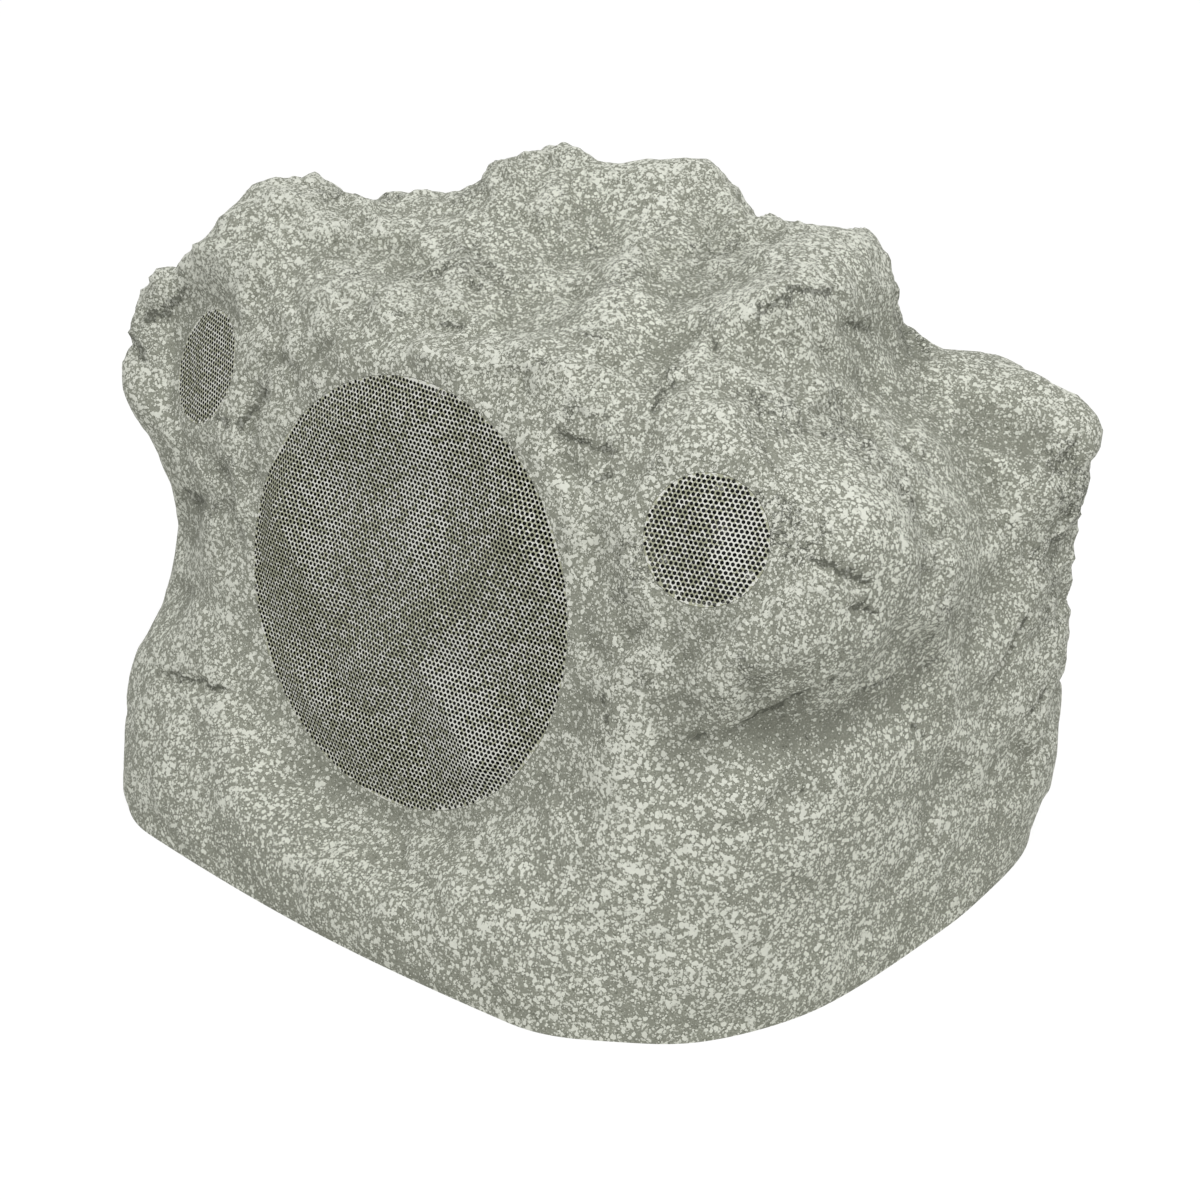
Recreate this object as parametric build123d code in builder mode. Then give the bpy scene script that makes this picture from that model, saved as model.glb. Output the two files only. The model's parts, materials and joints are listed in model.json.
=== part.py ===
from build123d import *
import math
import os

# Garden speaker in the shape of a rock, in millimetres.
# The origin is on the ground at the middle of the base, the front faces -Y and +Z is up.

# Rock body
rock_half_width = 216.0
rock_half_depth = 184.0
rock_height = 300.0
rock_wall = 6.0
plan_power = 3.2
facet_power = 18.0
lift_power = 1.5
ring_count = 21
ring_points = 72
ground_rings = 2
top_ring_climb = 84.0
crown_ring_climbs = (87.0, 88.8)

# Worn facets of the rock: yaw from the front toward the right, tilt upward,
# and how far out the facet lies as a share of the way to the corner of the rock's box
rock_facets = [
    (0, 66, 0.81),
    (0, 90, 1.00),
    (62, 28, 0.71),
    (-62, 30, 0.74),
    (110, 55, 0.73),
    (150, 50, 0.72),
    (-100, 50, 0.79),
    (-150, 45, 0.74),
    (180, 35, 0.85),
]

# Relief of the rock: start and end as shares of half width, half depth and height,
# then the width of the ridge and its rise in millimetres, where a fall is a crease or a hollow
rock_relief = [
    # Skirt that flares in front of the woofer, and the foot of the right side
    ((-0.52, -0.82, 0.05), (0.46, -0.82, 0.05), 42, 36),
    ((0.96, -0.36, 0.03), (1.00, 0.10, 0.03), 30, 4),
    # Left waist and the skirt corner below it
    ((-0.83, -0.64, 0.37), (-0.83, -0.54, 0.52), 24, -19),
    ((-0.79, -0.68, 0.20), (-0.79, -0.68, 0.23), 24, 6),
    # Bulge that carries the left tweeter, and the notch behind it
    ((-0.90, -0.49, 0.63), (-0.90, -0.41, 0.71), 22, 44),
    ((-0.80, -0.36, 0.80), (-0.77, -0.26, 0.84), 13, -14),
    # Bulge that carries the right tweeter, its lower shoulder and a lump on it
    ((0.67, -0.41, 0.82), (0.83, -0.22, 0.73), 32, 18),
    ((0.90, -0.38, 0.72), (0.90, -0.46, 0.62), 24, 18),
    ((0.90, -0.24, 0.69), (0.93, -0.14, 0.66), 14, 5),
    # Brow above the woofer, the pit over it and the edge at its right
    ((-0.28, -0.49, 0.89), (0.28, -0.46, 0.90), 18, 8),
    ((-0.10, -0.42, 0.91), (0.02, -0.41, 0.92), 12, -6),
    ((0.56, -0.62, 0.60), (0.66, -0.76, 0.24), 16, 6),
    # Valley between the brow and the right tweeter, with the pit at its foot
    ((0.52, -0.52, 0.67), (0.49, -0.35, 0.87), 16, -8),
    ((0.40, -0.54, 0.82), (0.48, -0.50, 0.81), 12, -5),
    # Crease under the right bulge, with the lip and the lump above it
    ((0.80, -0.63, 0.43), (0.92, -0.50, 0.48), 13, -9),
    ((0.92, -0.50, 0.48), (0.98, -0.10, 0.46), 13, -9),
    ((0.86, -0.54, 0.56), (0.96, -0.28, 0.57), 15, 7),
    ((0.90, -0.13, 0.64), (0.92, -0.05, 0.62), 18, 8),
    # Plateau at the upper left, the ledge before it and the saddle behind it
    ((-0.77, -0.36, 0.83), (-0.65, -0.20, 0.91), 25, 47),
    ((-0.52, -0.42, 0.87), (-0.36, -0.40, 0.90), 13, 6),
    ((-0.44, -0.04, 0.95), (-0.32, 0.06, 0.97), 18, 11),
    # Two humps of the crown, the ridges that run forward from them and the valley between
    ((-0.22, 0.17, 0.98), (-0.20, 0.23, 0.98), 17, 28),
    ((0.00, 0.30, 0.97), (0.04, 0.39, 0.97), 18, 31),
    ((0.20, 0.33, 0.95), (0.26, 0.36, 0.94), 14, 8),
    ((-0.14, -0.30, 0.93), (-0.20, 0.02, 0.97), 16, 8),
    ((0.10, -0.28, 0.93), (0.00, 0.08, 0.97), 15, -7),
    ((0.28, -0.30, 0.92), (0.12, 0.16, 0.97), 16, 8),
    # Hump behind the right tweeter, the valley at its left and the hollow under its lip
    ((0.50, 0.06, 0.88), (0.38, 0.42, 0.87), 25, 42),
    ((0.40, -0.22, 0.92), (0.32, 0.06, 0.95), 13, -8),
    ((0.58, -0.08, 0.88), (0.64, 0.18, 0.84), 11, -9),
    # Knob and corner at the back right, and the edge and hollow in front of them
    ((0.81, 0.57, 0.68), (0.69, 0.66, 0.77), 20, 44),
    ((0.95, 0.63, 0.18), (0.93, 0.63, 0.57), 34, 14),
    ((0.84, 0.22, 0.76), (0.97, 0.05, 0.58), 14, 6),
    ((0.86, 0.42, 0.72), (0.98, 0.28, 0.52), 16, -8),
    # Ridges and hollows of the left side and the back
    ((-0.97, 0.00, 0.22), (-0.92, 0.24, 0.62), 22, -9),
    ((-0.88, 0.52, 0.25), (-0.78, 0.58, 0.60), 22, 9),
    ((-0.60, 0.80, 0.60), (-0.30, 0.93, 0.42), 22, 8),
    ((0.28, 0.90, 0.60), (0.52, 0.88, 0.28), 20, -8),
    ((-0.28, 0.62, 0.88), (0.12, 0.70, 0.82), 18, 8),
]

# Places of the three drivers
woofer_height = 156.0
woofer_forward = 120.0
woofer_tilt = 10.3
tweeter_side = 161.0
tweeter_forward = 95.0
tweeter_height = 223.0
tweeter_yaw = 17.6
tweeter_tilt = 21.7
flat_proud = 1.0
flat_margin = 4.0
woofer_blend = 26.0
tweeter_blend = 18.0
least_facing = 0.2

# Grilles, pressed as shallow pans
woofer_grille_diameter = 205.0
tweeter_grille_diameter = 57.5
grille_sheet = 1.2
woofer_pan_depth = 4.0
tweeter_pan_depth = 3.0
grille_clearance = 0.3
woofer_hole_pitch = 20.0
tweeter_hole_pitch = 9.5
grille_web = 3.0
tweeter_grille_web = 2.0
grille_plain_edge = 3.0

# Woofer
woofer_frame_diameter = 200.0
woofer_well_clearance = 0.5
woofer_seat_depth = 20.0
woofer_gasket_thickness = 1.5
woofer_flange_thickness = 4.5
woofer_cutout_diameter = 184.0
woofer_cutout_clearance = 1.0
woofer_baffle_thickness = 14.0
woofer_baffle_edge = 12.0
basket_sheet = 2.5
basket_depth = 60.0
basket_foot_diameter = 104.0
basket_hole_diameter = 56.0
basket_window_count = 6
basket_window_angle = 40.0
basket_window_margin = 5.0
spider_shelf_depth = 32.0
spider_shelf_width = 7.0
cone_depth = 28.0
cone_sheet = 1.2
cone_sag = 3.0
surround_sheet = 0.8
surround_roll_rise = 7.0
surround_glue_width = 4.0
surround_roll_width = 9.5
dust_cap_diameter = 62.0
dust_cap_rise = 9.0
dust_cap_sheet = 0.8
coil_inner_diameter = 35.6
former_sheet = 0.6
former_tail = 1.0
winding_thickness = 0.9
winding_height = 12.0
glue_line = 0.1
gap_clearance = 0.45
pole_clearance = 0.6
top_plate_diameter = 100.0
top_plate_thickness = 8.0
magnet_diameter = 120.0
magnet_bore = 58.0
magnet_height = 18.0
back_plate_diameter = 110.0
back_plate_thickness = 7.0
spider_sheet = 0.6
spider_waves = 4
spider_wave_rise = 1.6
terminal_board_width = 26.0
terminal_board_length = 22.0
terminal_board_thickness = 2.0
terminal_spacing = 13.0
terminal_width = 6.3
terminal_sheet = 0.8
terminal_height = 8.0
woofer_screw_count = 8
woofer_screw_circle = 192.0

# Tweeters
tweeter_plate_diameter = 53.0
tweeter_plate_thickness = 2.5
tweeter_well_clearance = 0.4
tweeter_seat_depth = 11.0
tweeter_gasket_thickness = 1.0
tweeter_cutout_diameter = 40.0
tweeter_baffle_thickness = 8.0
tweeter_baffle_edge = 8.0
dome_diameter = 25.0
dome_rise = 6.0
dome_sheet = 0.6
dome_rim_width = 3.0
dome_clearance = 0.2
tweeter_pot_diameter = 36.0
tweeter_pot_height = 16.0
tweeter_screw_count = 3
tweeter_screw_circle = 46.0

# Screws of the drivers
screw_shank_diameter = 3.8
screw_head_diameter = 6.6
screw_head_height = 2.2
screw_bite = 9.0
screw_clearance = 0.15
small_screw_shank_diameter = 2.2
small_screw_head_diameter = 4.2
small_screw_head_height = 1.5
small_screw_bite = 5.0
cross_slot_width = 0.9
cross_slot_depth = 0.9
cross_slot_length_share = 0.6
screw_tip_gap = 0.5

# Base
base_plate_thickness = 5.0
base_plate_clearance = 1.0
base_gasket_thickness = 2.0
base_ledge_width = 15.0
base_ledge_height = 9.0
base_gasket_edge = 2.0
base_screw_count = 8
base_screw_inset = 9.0
base_screw_shank_diameter = 4.0
base_screw_head_diameter = 8.4
base_screw_head_height = 2.6
base_screw_length = 20.0
base_boss_diameter = 13.0
base_boss_height = 18.0
base_rib_count = 3
base_rib_spacing = 100.0
base_rib_thickness = 3.0
base_rib_height = 7.0
base_rib_length = 220.0

# Cable gland on the rear skirt
gland_height = 34.0
gland_thread_diameter = 12.0
gland_hole_clearance = 0.2
gland_flats = 16.0
gland_flange_thickness = 4.0
gland_thread_length = 12.0
gland_nut_thickness = 4.0
gland_body_bore = 6.8
gland_neck_length = 9.0
gland_neck_diameter = 11.2
gland_neck_bore = 9.4
gland_cable_bore = 6.0
gland_dome_diameter = 15.0
gland_cap_thickness = 2.5
gland_cap_edge = 2.0
gland_fit_clearance = 0.1
gland_seat_depth = 0.6
gland_seat_diameter = 22.0

# Crossover on the base plate
board_length = 120.0
board_width = 84.0
board_thickness = 1.6
board_back = 50.0
standoff_height = 10.0
standoff_diameter = 8.0
standoff_inset = 7.0
inductor_diameter = 36.0
inductor_bore = 14.0
inductor_height = 18.0
inductor_spacing = 44.0
capacitor_diameter = 16.0
capacitor_length = 34.0
capacitor_spacing = 20.0
resistor_length = 28.0
resistor_section = 9.0
resistor_spacing = 14.0
board_row = 20.0

os.makedirs("parts", exist_ok=True)


def keep(piece, name):
    """Label a finished piece and write it."""
    piece.part.label = name
    export_step(piece.part, f"parts/{name}.step")


def facing(yaw, tilt):
    """Outward direction for a yaw from the front toward the right and a tilt upward."""
    yaw, tilt = math.radians(yaw), math.radians(tilt)
    return Vector(math.sin(yaw) * math.cos(tilt), -math.cos(yaw) * math.cos(tilt), math.sin(tilt))


class DriverSeat:
    """Flat of the rock for one driver, with its face plane, its section plane and its axis."""

    def __init__(self, centre, yaw, tilt, radius, blend):
        self.centre = Vector(*centre)
        self.normal = facing(yaw, tilt)
        self.radius = radius
        self.blend = blend
        across = facing(yaw + 90, 0)
        self.face = Plane(origin=self.centre, x_dir=across, z_dir=self.normal)
        self.axis = Axis(self.centre, self.normal)
        self.across = across

    def section_at(self, turn):
        """Section plane turned about the axis, with X outward from the axis and Y along it."""
        side = self.across.rotate(Axis((0, 0, 0), self.normal), turn)
        return Plane(origin=self.centre, x_dir=side, z_dir=side.cross(self.normal))

    def at(self, depth):
        """Plane parallel to the face at a depth inside the rock."""
        return self.face.offset(-depth)


woofer = DriverSeat(
    (0, -woofer_forward, woofer_height),
    0,
    woofer_tilt,
    woofer_grille_diameter / 2,
    woofer_blend,
)
tweeters = {
    side: DriverSeat(
        (sign * tweeter_side, -tweeter_forward, tweeter_height),
        sign * tweeter_yaw,
        tweeter_tilt,
        tweeter_grille_diameter / 2,
        tweeter_blend,
    )
    for side, sign in (("left", -1), ("right", 1))
}
seats = [woofer, *tweeters.values()]


def facet_planes():
    """Every facet as its normal and its distance from the base centre."""
    planes = [(seat.normal, seat.normal.dot(seat.centre) + flat_proud) for seat in seats]
    for yaw, tilt, share in rock_facets:
        normal = facing(yaw, tilt)
        corner = Vector(
            math.copysign(rock_half_width, normal.X),
            math.copysign(rock_half_depth, normal.Y),
            rock_height,
        )
        planes.append((normal, share * normal.dot(corner)))
    return planes


def place(share):
    """Point in the rock from shares of its half width, half depth and height."""
    return Vector(share[0] * rock_half_width, share[1] * rock_half_depth, share[2] * rock_height)


facets = facet_planes()
relief = [(place(start), place(end), width, rise) for start, end, width, rise in rock_relief]


def rounded_body(direction):
    """Power mean of the plan outline and the facets, seen from the base centre."""
    outline = abs(direction.X / rock_half_width) ** plan_power
    outline += abs(direction.Y / rock_half_depth) ** plan_power
    total = outline ** (facet_power / plan_power)
    for normal, distance in facets:
        total += max(direction.dot(normal) / distance, 0) ** facet_power
    return direction * total ** (-1 / facet_power)


def relief_at(point):
    """Sum of the ridges, each a bell across the straight run from its start to its end."""
    height = 0.0
    for start, end, width, rise in relief:
        run = end - start
        along = min(max((point - start).dot(run) / run.dot(run), 0), 1)
        away = (point - start - run * along).length
        height += rise * math.exp(-0.5 * (away / width) ** 2)
    return height


def rock_point(turn, climb, inset=0.0):
    """Point of the rock at a turn about Z and a climb from the ground, in degrees."""
    round_z = Vector(math.cos(math.radians(turn)), math.sin(math.radians(turn)), 0)
    climb_rad = math.radians(climb)
    lift = math.pi / 2 * (max(climb, 0) / 90) ** lift_power
    outward = round_z * math.cos(lift) + Vector(0, 0, math.sin(lift))
    bare = rounded_body(round_z * math.cos(climb_rad) + Vector(0, 0, math.sin(climb_rad)))
    point = bare + outward * relief_at(bare)
    for seat in seats:
        toward = outward.dot(seat.normal)
        if toward < least_facing:
            continue
        step = outward * ((seat.centre - point).dot(seat.normal) / toward)
        away = (point + step - seat.centre).length - seat.radius - flat_margin
        fade = min(max(away / seat.blend, 0), 1)
        point += step * (1 - fade * fade * (3 - 2 * fade))
    return point - outward * inset


def rock_ring(climb, inset):
    """Closed ring of the rock at one climb."""
    points = [rock_point(360 * i / ring_points, climb, inset) for i in range(ring_points)]
    marks = [i / ring_points for i in range(ring_points + 1)]
    return Edge.make_spline(points, periodic=True, parameters=marks)


def rock_solid(inset):
    """Rock from a little below the ground to the crown, drawn in by an inset."""
    climbs = [top_ring_climb * i / (ring_count - 1) for i in range(-ground_rings, ring_count)]
    climbs.extend(crown_ring_climbs)
    rings = [Wire([rock_ring(climb, inset)]) for climb in climbs]
    return Solid.make_loft([*rings, Vertex(*rock_point(0, 90, inset))])


outer_rock = rock_solid(0)
inner_rock = rock_solid(rock_wall)

# Depths along the woofer axis, from the grille face inward
woofer_flange_back = woofer_seat_depth - woofer_gasket_thickness
woofer_flange_front = woofer_flange_back - woofer_flange_thickness
woofer_baffle_back = woofer_seat_depth + woofer_baffle_thickness
basket_foot = woofer_flange_back + basket_depth
top_plate_back = basket_foot + top_plate_thickness
magnet_back = top_plate_back + magnet_height
tweeter_flange_back = tweeter_seat_depth - tweeter_gasket_thickness
tweeter_flange_front = tweeter_flange_back - tweeter_plate_thickness

# Heights above the ground inside the base
ledge_bottom = base_plate_thickness + base_gasket_thickness
ledge_middle = ledge_bottom + base_ledge_height / 2
base_opening_inset = rock_wall + base_ledge_width
base_screw_turns = [360 * (i + 0.5) / base_screw_count for i in range(base_screw_count)]
base_screw_places = [rock_point(turn, 0, rock_wall + base_screw_inset) for turn in base_screw_turns]
gland_outer_seat = rock_half_depth - gland_seat_depth
gland_inner_seat = rock_half_depth - rock_wall + gland_seat_depth
gland_centre = Vector(0, gland_outer_seat, gland_height)
gland_face = Plane(origin=gland_centre, x_dir=(-1, 0, 0), z_dir=(0, 1, 0))

# Hollow of the rock, less the baffles, the base ledge and the screw bosses
with BuildPart() as hollow:
    add(inner_rock)
    for seat, depth, edge in (
        (woofer, woofer_baffle_back, woofer_baffle_edge),
        (tweeters["left"], tweeter_seat_depth + tweeter_baffle_thickness, tweeter_baffle_edge),
        (tweeters["right"], tweeter_seat_depth + tweeter_baffle_thickness, tweeter_baffle_edge),
    ):
        with BuildSketch(seat.at(depth)):
            Circle(seat.radius + edge)
        extrude(amount=2 * depth, mode=Mode.SUBTRACT)
    with BuildSketch(Plane.XY.offset(ledge_bottom)):
        Rectangle(4 * rock_half_width, 4 * rock_half_depth)
        with BuildLine():
            add(rock_ring(0, base_opening_inset))
        make_face(mode=Mode.SUBTRACT)
    extrude(amount=base_ledge_height, mode=Mode.SUBTRACT)
    with BuildSketch(Plane.XY.offset(ledge_middle)):
        with Locations(*base_screw_places):
            Circle(base_boss_diameter / 2)
    extrude(amount=base_ledge_height / 2 + base_boss_height, mode=Mode.SUBTRACT)

with BuildPart() as rock_shell:
    add(outer_rock)
    split(bisect_by=Plane.XY, keep=Keep.TOP)
    add(hollow.part, mode=Mode.SUBTRACT)
    # Stepped wells for the woofer
    for diameter, depth in (
        (woofer_grille_diameter + 2 * grille_clearance, woofer_pan_depth),
        (woofer_frame_diameter + 2 * woofer_well_clearance, woofer_seat_depth),
        (woofer_cutout_diameter, 2 * woofer_baffle_back),
    ):
        with BuildSketch(woofer.at(depth)):
            Circle(diameter / 2)
        extrude(amount=depth + woofer_baffle_back, mode=Mode.SUBTRACT)
    with BuildSketch(woofer.at(woofer_seat_depth)):
        with PolarLocations(woofer_screw_circle / 2, woofer_screw_count):
            Circle(screw_shank_diameter / 2 + screw_clearance)
    extrude(amount=-screw_bite, mode=Mode.SUBTRACT)
    # Stepped wells for the tweeters
    for seat in tweeters.values():
        for diameter, depth in (
            (tweeter_grille_diameter + 2 * grille_clearance, tweeter_pan_depth),
            (tweeter_plate_diameter + 2 * tweeter_well_clearance, tweeter_seat_depth),
            (tweeter_cutout_diameter, 3 * tweeter_seat_depth),
        ):
            with BuildSketch(seat.at(depth)):
                Circle(diameter / 2)
            extrude(amount=depth + tweeter_seat_depth, mode=Mode.SUBTRACT)
        with BuildSketch(seat.at(tweeter_seat_depth)):
            with PolarLocations(tweeter_screw_circle / 2, tweeter_screw_count, start_angle=90):
                Circle(small_screw_shank_diameter / 2 + screw_clearance)
        extrude(amount=-small_screw_bite, mode=Mode.SUBTRACT)
    # Holes for the base screws
    with BuildSketch(Plane.XY):
        with Locations(*base_screw_places):
            Circle(base_screw_shank_diameter / 2 + screw_clearance)
    extrude(amount=base_screw_length + base_gasket_thickness, mode=Mode.SUBTRACT)
    # Spot faces and hole for the cable gland
    with BuildSketch(gland_face):
        Circle(gland_seat_diameter / 2)
    extrude(amount=gland_flange_thickness, mode=Mode.SUBTRACT)
    with BuildSketch(gland_face.offset(gland_inner_seat - gland_outer_seat)):
        Circle(gland_seat_diameter / 2)
    extrude(amount=-gland_flange_thickness, mode=Mode.SUBTRACT)
    with BuildSketch(gland_face):
        Circle(gland_thread_diameter / 2 + gland_hole_clearance)
    extrude(amount=-2 * rock_wall, mode=Mode.SUBTRACT)
keep(rock_shell, "rock_shell")


def hole_grid(pitch, reach):
    """Centres of a staggered hole pattern inside a reach from the middle."""
    row_height = pitch * math.sqrt(3) / 2
    rows = int(reach / row_height)
    columns = int(reach / pitch) + 1
    centres = []
    for row in range(-rows, rows + 1):
        for column in range(-columns, columns + 1):
            centre = (pitch * (column + (row % 2) / 2), row * row_height)
            if math.hypot(*centre) <= reach:
                centres.append(centre)
    return centres


def grille_pan(seat, pan_depth, pitch, web):
    """Perforated sheet with a turned-back rim that stands on the ledge of its well."""
    hole_radius = (pitch - web) / math.sqrt(3)
    reach = seat.radius - grille_sheet - grille_plain_edge - hole_radius
    with BuildPart() as pan:
        with BuildSketch(seat.at(pan_depth)):
            Circle(seat.radius)
        extrude(amount=pan_depth)
        with BuildSketch(seat.at(pan_depth)):
            Circle(seat.radius - grille_sheet)
        extrude(amount=pan_depth - grille_sheet, mode=Mode.SUBTRACT)
        with BuildSketch(seat.face):
            with Locations(*hole_grid(pitch, reach)):
                RegularPolygon(hole_radius, 6, rotation=30)
        extrude(amount=-pan_depth, mode=Mode.SUBTRACT)
    return pan


keep(grille_pan(woofer, woofer_pan_depth, woofer_hole_pitch, grille_web), "woofer_grille")
for side, seat in tweeters.items():
    pan = grille_pan(seat, tweeter_pan_depth, tweeter_hole_pitch, tweeter_grille_web)
    keep(pan, f"tweeter_grille_{side}")

# Basket of the woofer: flange, sloped wall with windows, spider shelf and foot
wall_radius = woofer_cutout_diameter / 2 - woofer_cutout_clearance
flange_inner_radius = wall_radius - basket_sheet
foot_radius = basket_foot_diameter / 2
shelf_radius = foot_radius + spider_shelf_width
shelf_depth = woofer_flange_back + spider_shelf_depth
with BuildPart() as woofer_frame:
    with BuildSketch(woofer.section_at(0)):
        with BuildLine():
            Polyline(
                (flange_inner_radius, -woofer_flange_front),
                (woofer_frame_diameter / 2, -woofer_flange_front),
                (woofer_frame_diameter / 2, -woofer_flange_back),
                (wall_radius, -woofer_flange_back),
                (shelf_radius, -shelf_depth),
                (shelf_radius, -shelf_depth - basket_sheet),
                (foot_radius, -shelf_depth - basket_sheet),
                (foot_radius, -basket_foot),
                (basket_hole_diameter / 2, -basket_foot),
                (basket_hole_diameter / 2, -basket_foot + basket_sheet),
                (foot_radius - basket_sheet, -basket_foot + basket_sheet),
                (foot_radius - basket_sheet, -shelf_depth),
                (shelf_radius - basket_sheet, -shelf_depth),
                (flange_inner_radius, -woofer_flange_back),
                close=True,
            )
        make_face()
    revolve(axis=woofer.axis)
    window_top = woofer_flange_back + basket_window_margin
    window_foot = shelf_depth - basket_window_margin
    for i in range(basket_window_count):
        with BuildSketch(woofer.section_at(360 * i / basket_window_count)):
            with BuildLine():
                Polyline(
                    (shelf_radius, -window_top),
                    (woofer_frame_diameter / 2, -window_top),
                    (woofer_frame_diameter / 2, -window_foot),
                    (shelf_radius, -window_foot),
                    close=True,
                )
            make_face()
        revolve(axis=woofer.axis, revolution_arc=basket_window_angle, mode=Mode.SUBTRACT)
    with BuildSketch(woofer.at(woofer_flange_back)):
        with PolarLocations(woofer_screw_circle / 2, woofer_screw_count):
            Circle(screw_shank_diameter / 2 + screw_clearance)
    extrude(amount=woofer_flange_thickness, mode=Mode.SUBTRACT)
keep(woofer_frame, "woofer_frame")

with BuildPart() as woofer_gasket:
    with BuildSketch(woofer.at(woofer_seat_depth)):
        Circle(woofer_frame_diameter / 2)
        Circle(woofer_cutout_diameter / 2, mode=Mode.SUBTRACT)
        with PolarLocations(woofer_screw_circle / 2, woofer_screw_count):
            Circle(screw_shank_diameter / 2 + screw_clearance, mode=Mode.SUBTRACT)
    extrude(amount=woofer_gasket_thickness)
keep(woofer_gasket, "woofer_gasket")

# Cone with a flat lip at its edge, drawn in by a shallow curve
cone_radius = flange_inner_radius - surround_roll_width
former_radius = coil_inner_diameter / 2 + former_sheet
neck_radius = former_radius + glue_line
lip_radius = cone_radius - surround_glue_width
neck_depth = woofer_flange_front + cone_depth


def cone_front(radius):
    """Depth of the cone's front at a radius, a straight slope with a shallow sag."""
    share = (radius - neck_radius) / (lip_radius - neck_radius)
    return neck_depth - share * cone_depth + 4 * cone_sag * share * (1 - share)


def cone_curve(drop):
    """Ends and control point of the cone's line from the neck to the lip, moved back by a drop."""
    middle_radius = (neck_radius + lip_radius) / 2
    middle_depth = neck_depth - cone_depth / 2 + 2 * cone_sag
    return (
        (neck_radius, -neck_depth - drop),
        (middle_radius, -middle_depth - drop),
        (lip_radius, -woofer_flange_front - drop),
    )


with BuildPart() as woofer_cone:
    with BuildSketch(woofer.section_at(0)):
        with BuildLine():
            front = Bezier(*cone_curve(0))
            back = Bezier(*cone_curve(cone_sheet))
            Polyline(
                front @ 1,
                (cone_radius, -woofer_flange_front),
                (cone_radius, -woofer_flange_front - cone_sheet),
                back @ 1,
            )
            Line(back @ 0, front @ 0)
        make_face()
    revolve(axis=woofer.axis)
keep(woofer_cone, "woofer_cone")

# Half roll that joins the cone's lip to the flange
roll_middle = (cone_radius + flange_inner_radius) / 2
surround_outer_radius = flange_inner_radius + surround_glue_width
surround_front = woofer_flange_front - surround_sheet
with BuildPart() as woofer_surround:
    with BuildSketch(woofer.section_at(0)):
        with BuildLine():
            Line((lip_radius, -surround_front), (cone_radius, -surround_front))
            ThreePointArc(
                (cone_radius, -surround_front),
                (roll_middle, -surround_front + surround_roll_rise),
                (flange_inner_radius, -surround_front),
            )
            Polyline(
                (flange_inner_radius, -surround_front),
                (surround_outer_radius, -surround_front),
                (surround_outer_radius, -woofer_flange_front),
                (flange_inner_radius - surround_sheet, -woofer_flange_front),
            )
            ThreePointArc(
                (flange_inner_radius - surround_sheet, -woofer_flange_front),
                (roll_middle, -surround_front + surround_roll_rise - surround_sheet),
                (cone_radius + surround_sheet, -woofer_flange_front),
            )
            Polyline(
                (cone_radius + surround_sheet, -woofer_flange_front),
                (lip_radius, -woofer_flange_front),
                (lip_radius, -surround_front),
            )
        make_face()
    revolve(axis=woofer.axis)
keep(woofer_surround, "woofer_surround")


def dome_arc(radius, rise, foot):
    """Points of a round dome from its foot to its top, at a depth of the foot."""
    sphere = (radius ** 2 + rise ** 2) / (2 * rise)
    half_way = math.sqrt(sphere ** 2 - (radius / 2) ** 2) - sphere + rise
    return (radius, -foot), (radius / 2, -foot + half_way), (0, -foot + rise)


# Domed cap glued on the cone
cap_radius = dust_cap_diameter / 2
cap_inner_radius = cap_radius - dust_cap_sheet
cap_foot = cone_front(cap_radius) - glue_line
with BuildPart() as woofer_dust_cap:
    with BuildSketch(woofer.section_at(0)):
        with BuildLine():
            top = ThreePointArc(*dome_arc(cap_radius, dust_cap_rise, cap_foot))
            low = ThreePointArc(*dome_arc(cap_inner_radius, dust_cap_rise - dust_cap_sheet, cap_foot))
            Line(top @ 1, low @ 1)
            Line(low @ 0, top @ 0)
        make_face()
    revolve(axis=woofer.axis)
keep(woofer_dust_cap, "woofer_dust_cap")


def ring_piece(seat, front, back, outer_radius, inner_radius, name):
    """Plain ring or tube about a driver's axis between two depths."""
    with BuildPart() as ring:
        with BuildSketch(seat.at(back)):
            Circle(outer_radius)
            Circle(inner_radius, mode=Mode.SUBTRACT)
        extrude(amount=back - front)
    keep(ring, name)


# Voice coil, centred on the top plate
gap_middle = basket_foot + top_plate_thickness / 2
winding_front = gap_middle - winding_height / 2
winding_back = gap_middle + winding_height / 2
winding_radius = former_radius + winding_thickness
former_back = winding_back + former_tail
ring_piece(woofer, neck_depth, former_back, former_radius, coil_inner_diameter / 2, "woofer_coil_former")
ring_piece(woofer, winding_front, winding_back, winding_radius, former_radius, "woofer_coil_winding")

# Magnet system
gap_radius = winding_radius + gap_clearance
ring_piece(woofer, basket_foot, top_plate_back, top_plate_diameter / 2, gap_radius, "woofer_top_plate")
ring_piece(woofer, top_plate_back, magnet_back, magnet_diameter / 2, magnet_bore / 2, "woofer_magnet")
with BuildPart() as woofer_back_plate:
    with BuildSketch(woofer.at(magnet_back)):
        Circle(back_plate_diameter / 2)
    extrude(amount=-back_plate_thickness)
    with BuildSketch(woofer.at(magnet_back)):
        Circle(coil_inner_diameter / 2 - pole_clearance)
    extrude(amount=magnet_back - basket_foot)
    chamfer(woofer_back_plate.faces().sort_by(woofer.axis)[0].edges(), back_plate_thickness / 4)
keep(woofer_back_plate, "woofer_back_plate")

# Corrugated spider from the former to the shelf of the basket
spider_inner = former_radius + glue_line
spider_outer = shelf_radius - basket_sheet - glue_line
spider_flat = foot_radius - basket_sheet
spider_front = shelf_depth - spider_sheet


def spider_waves_at(depth):
    """Half waves of the spider from the former to the shelf, each as three points of an arc."""
    half_wave = (spider_flat - spider_inner) / (2 * spider_waves)
    for i in range(2 * spider_waves):
        start = spider_inner + i * half_wave
        rise = spider_wave_rise if i % 2 == 0 else -spider_wave_rise
        yield (start, -depth), (start + half_wave / 2, rise - depth), (start + half_wave, -depth)


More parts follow.
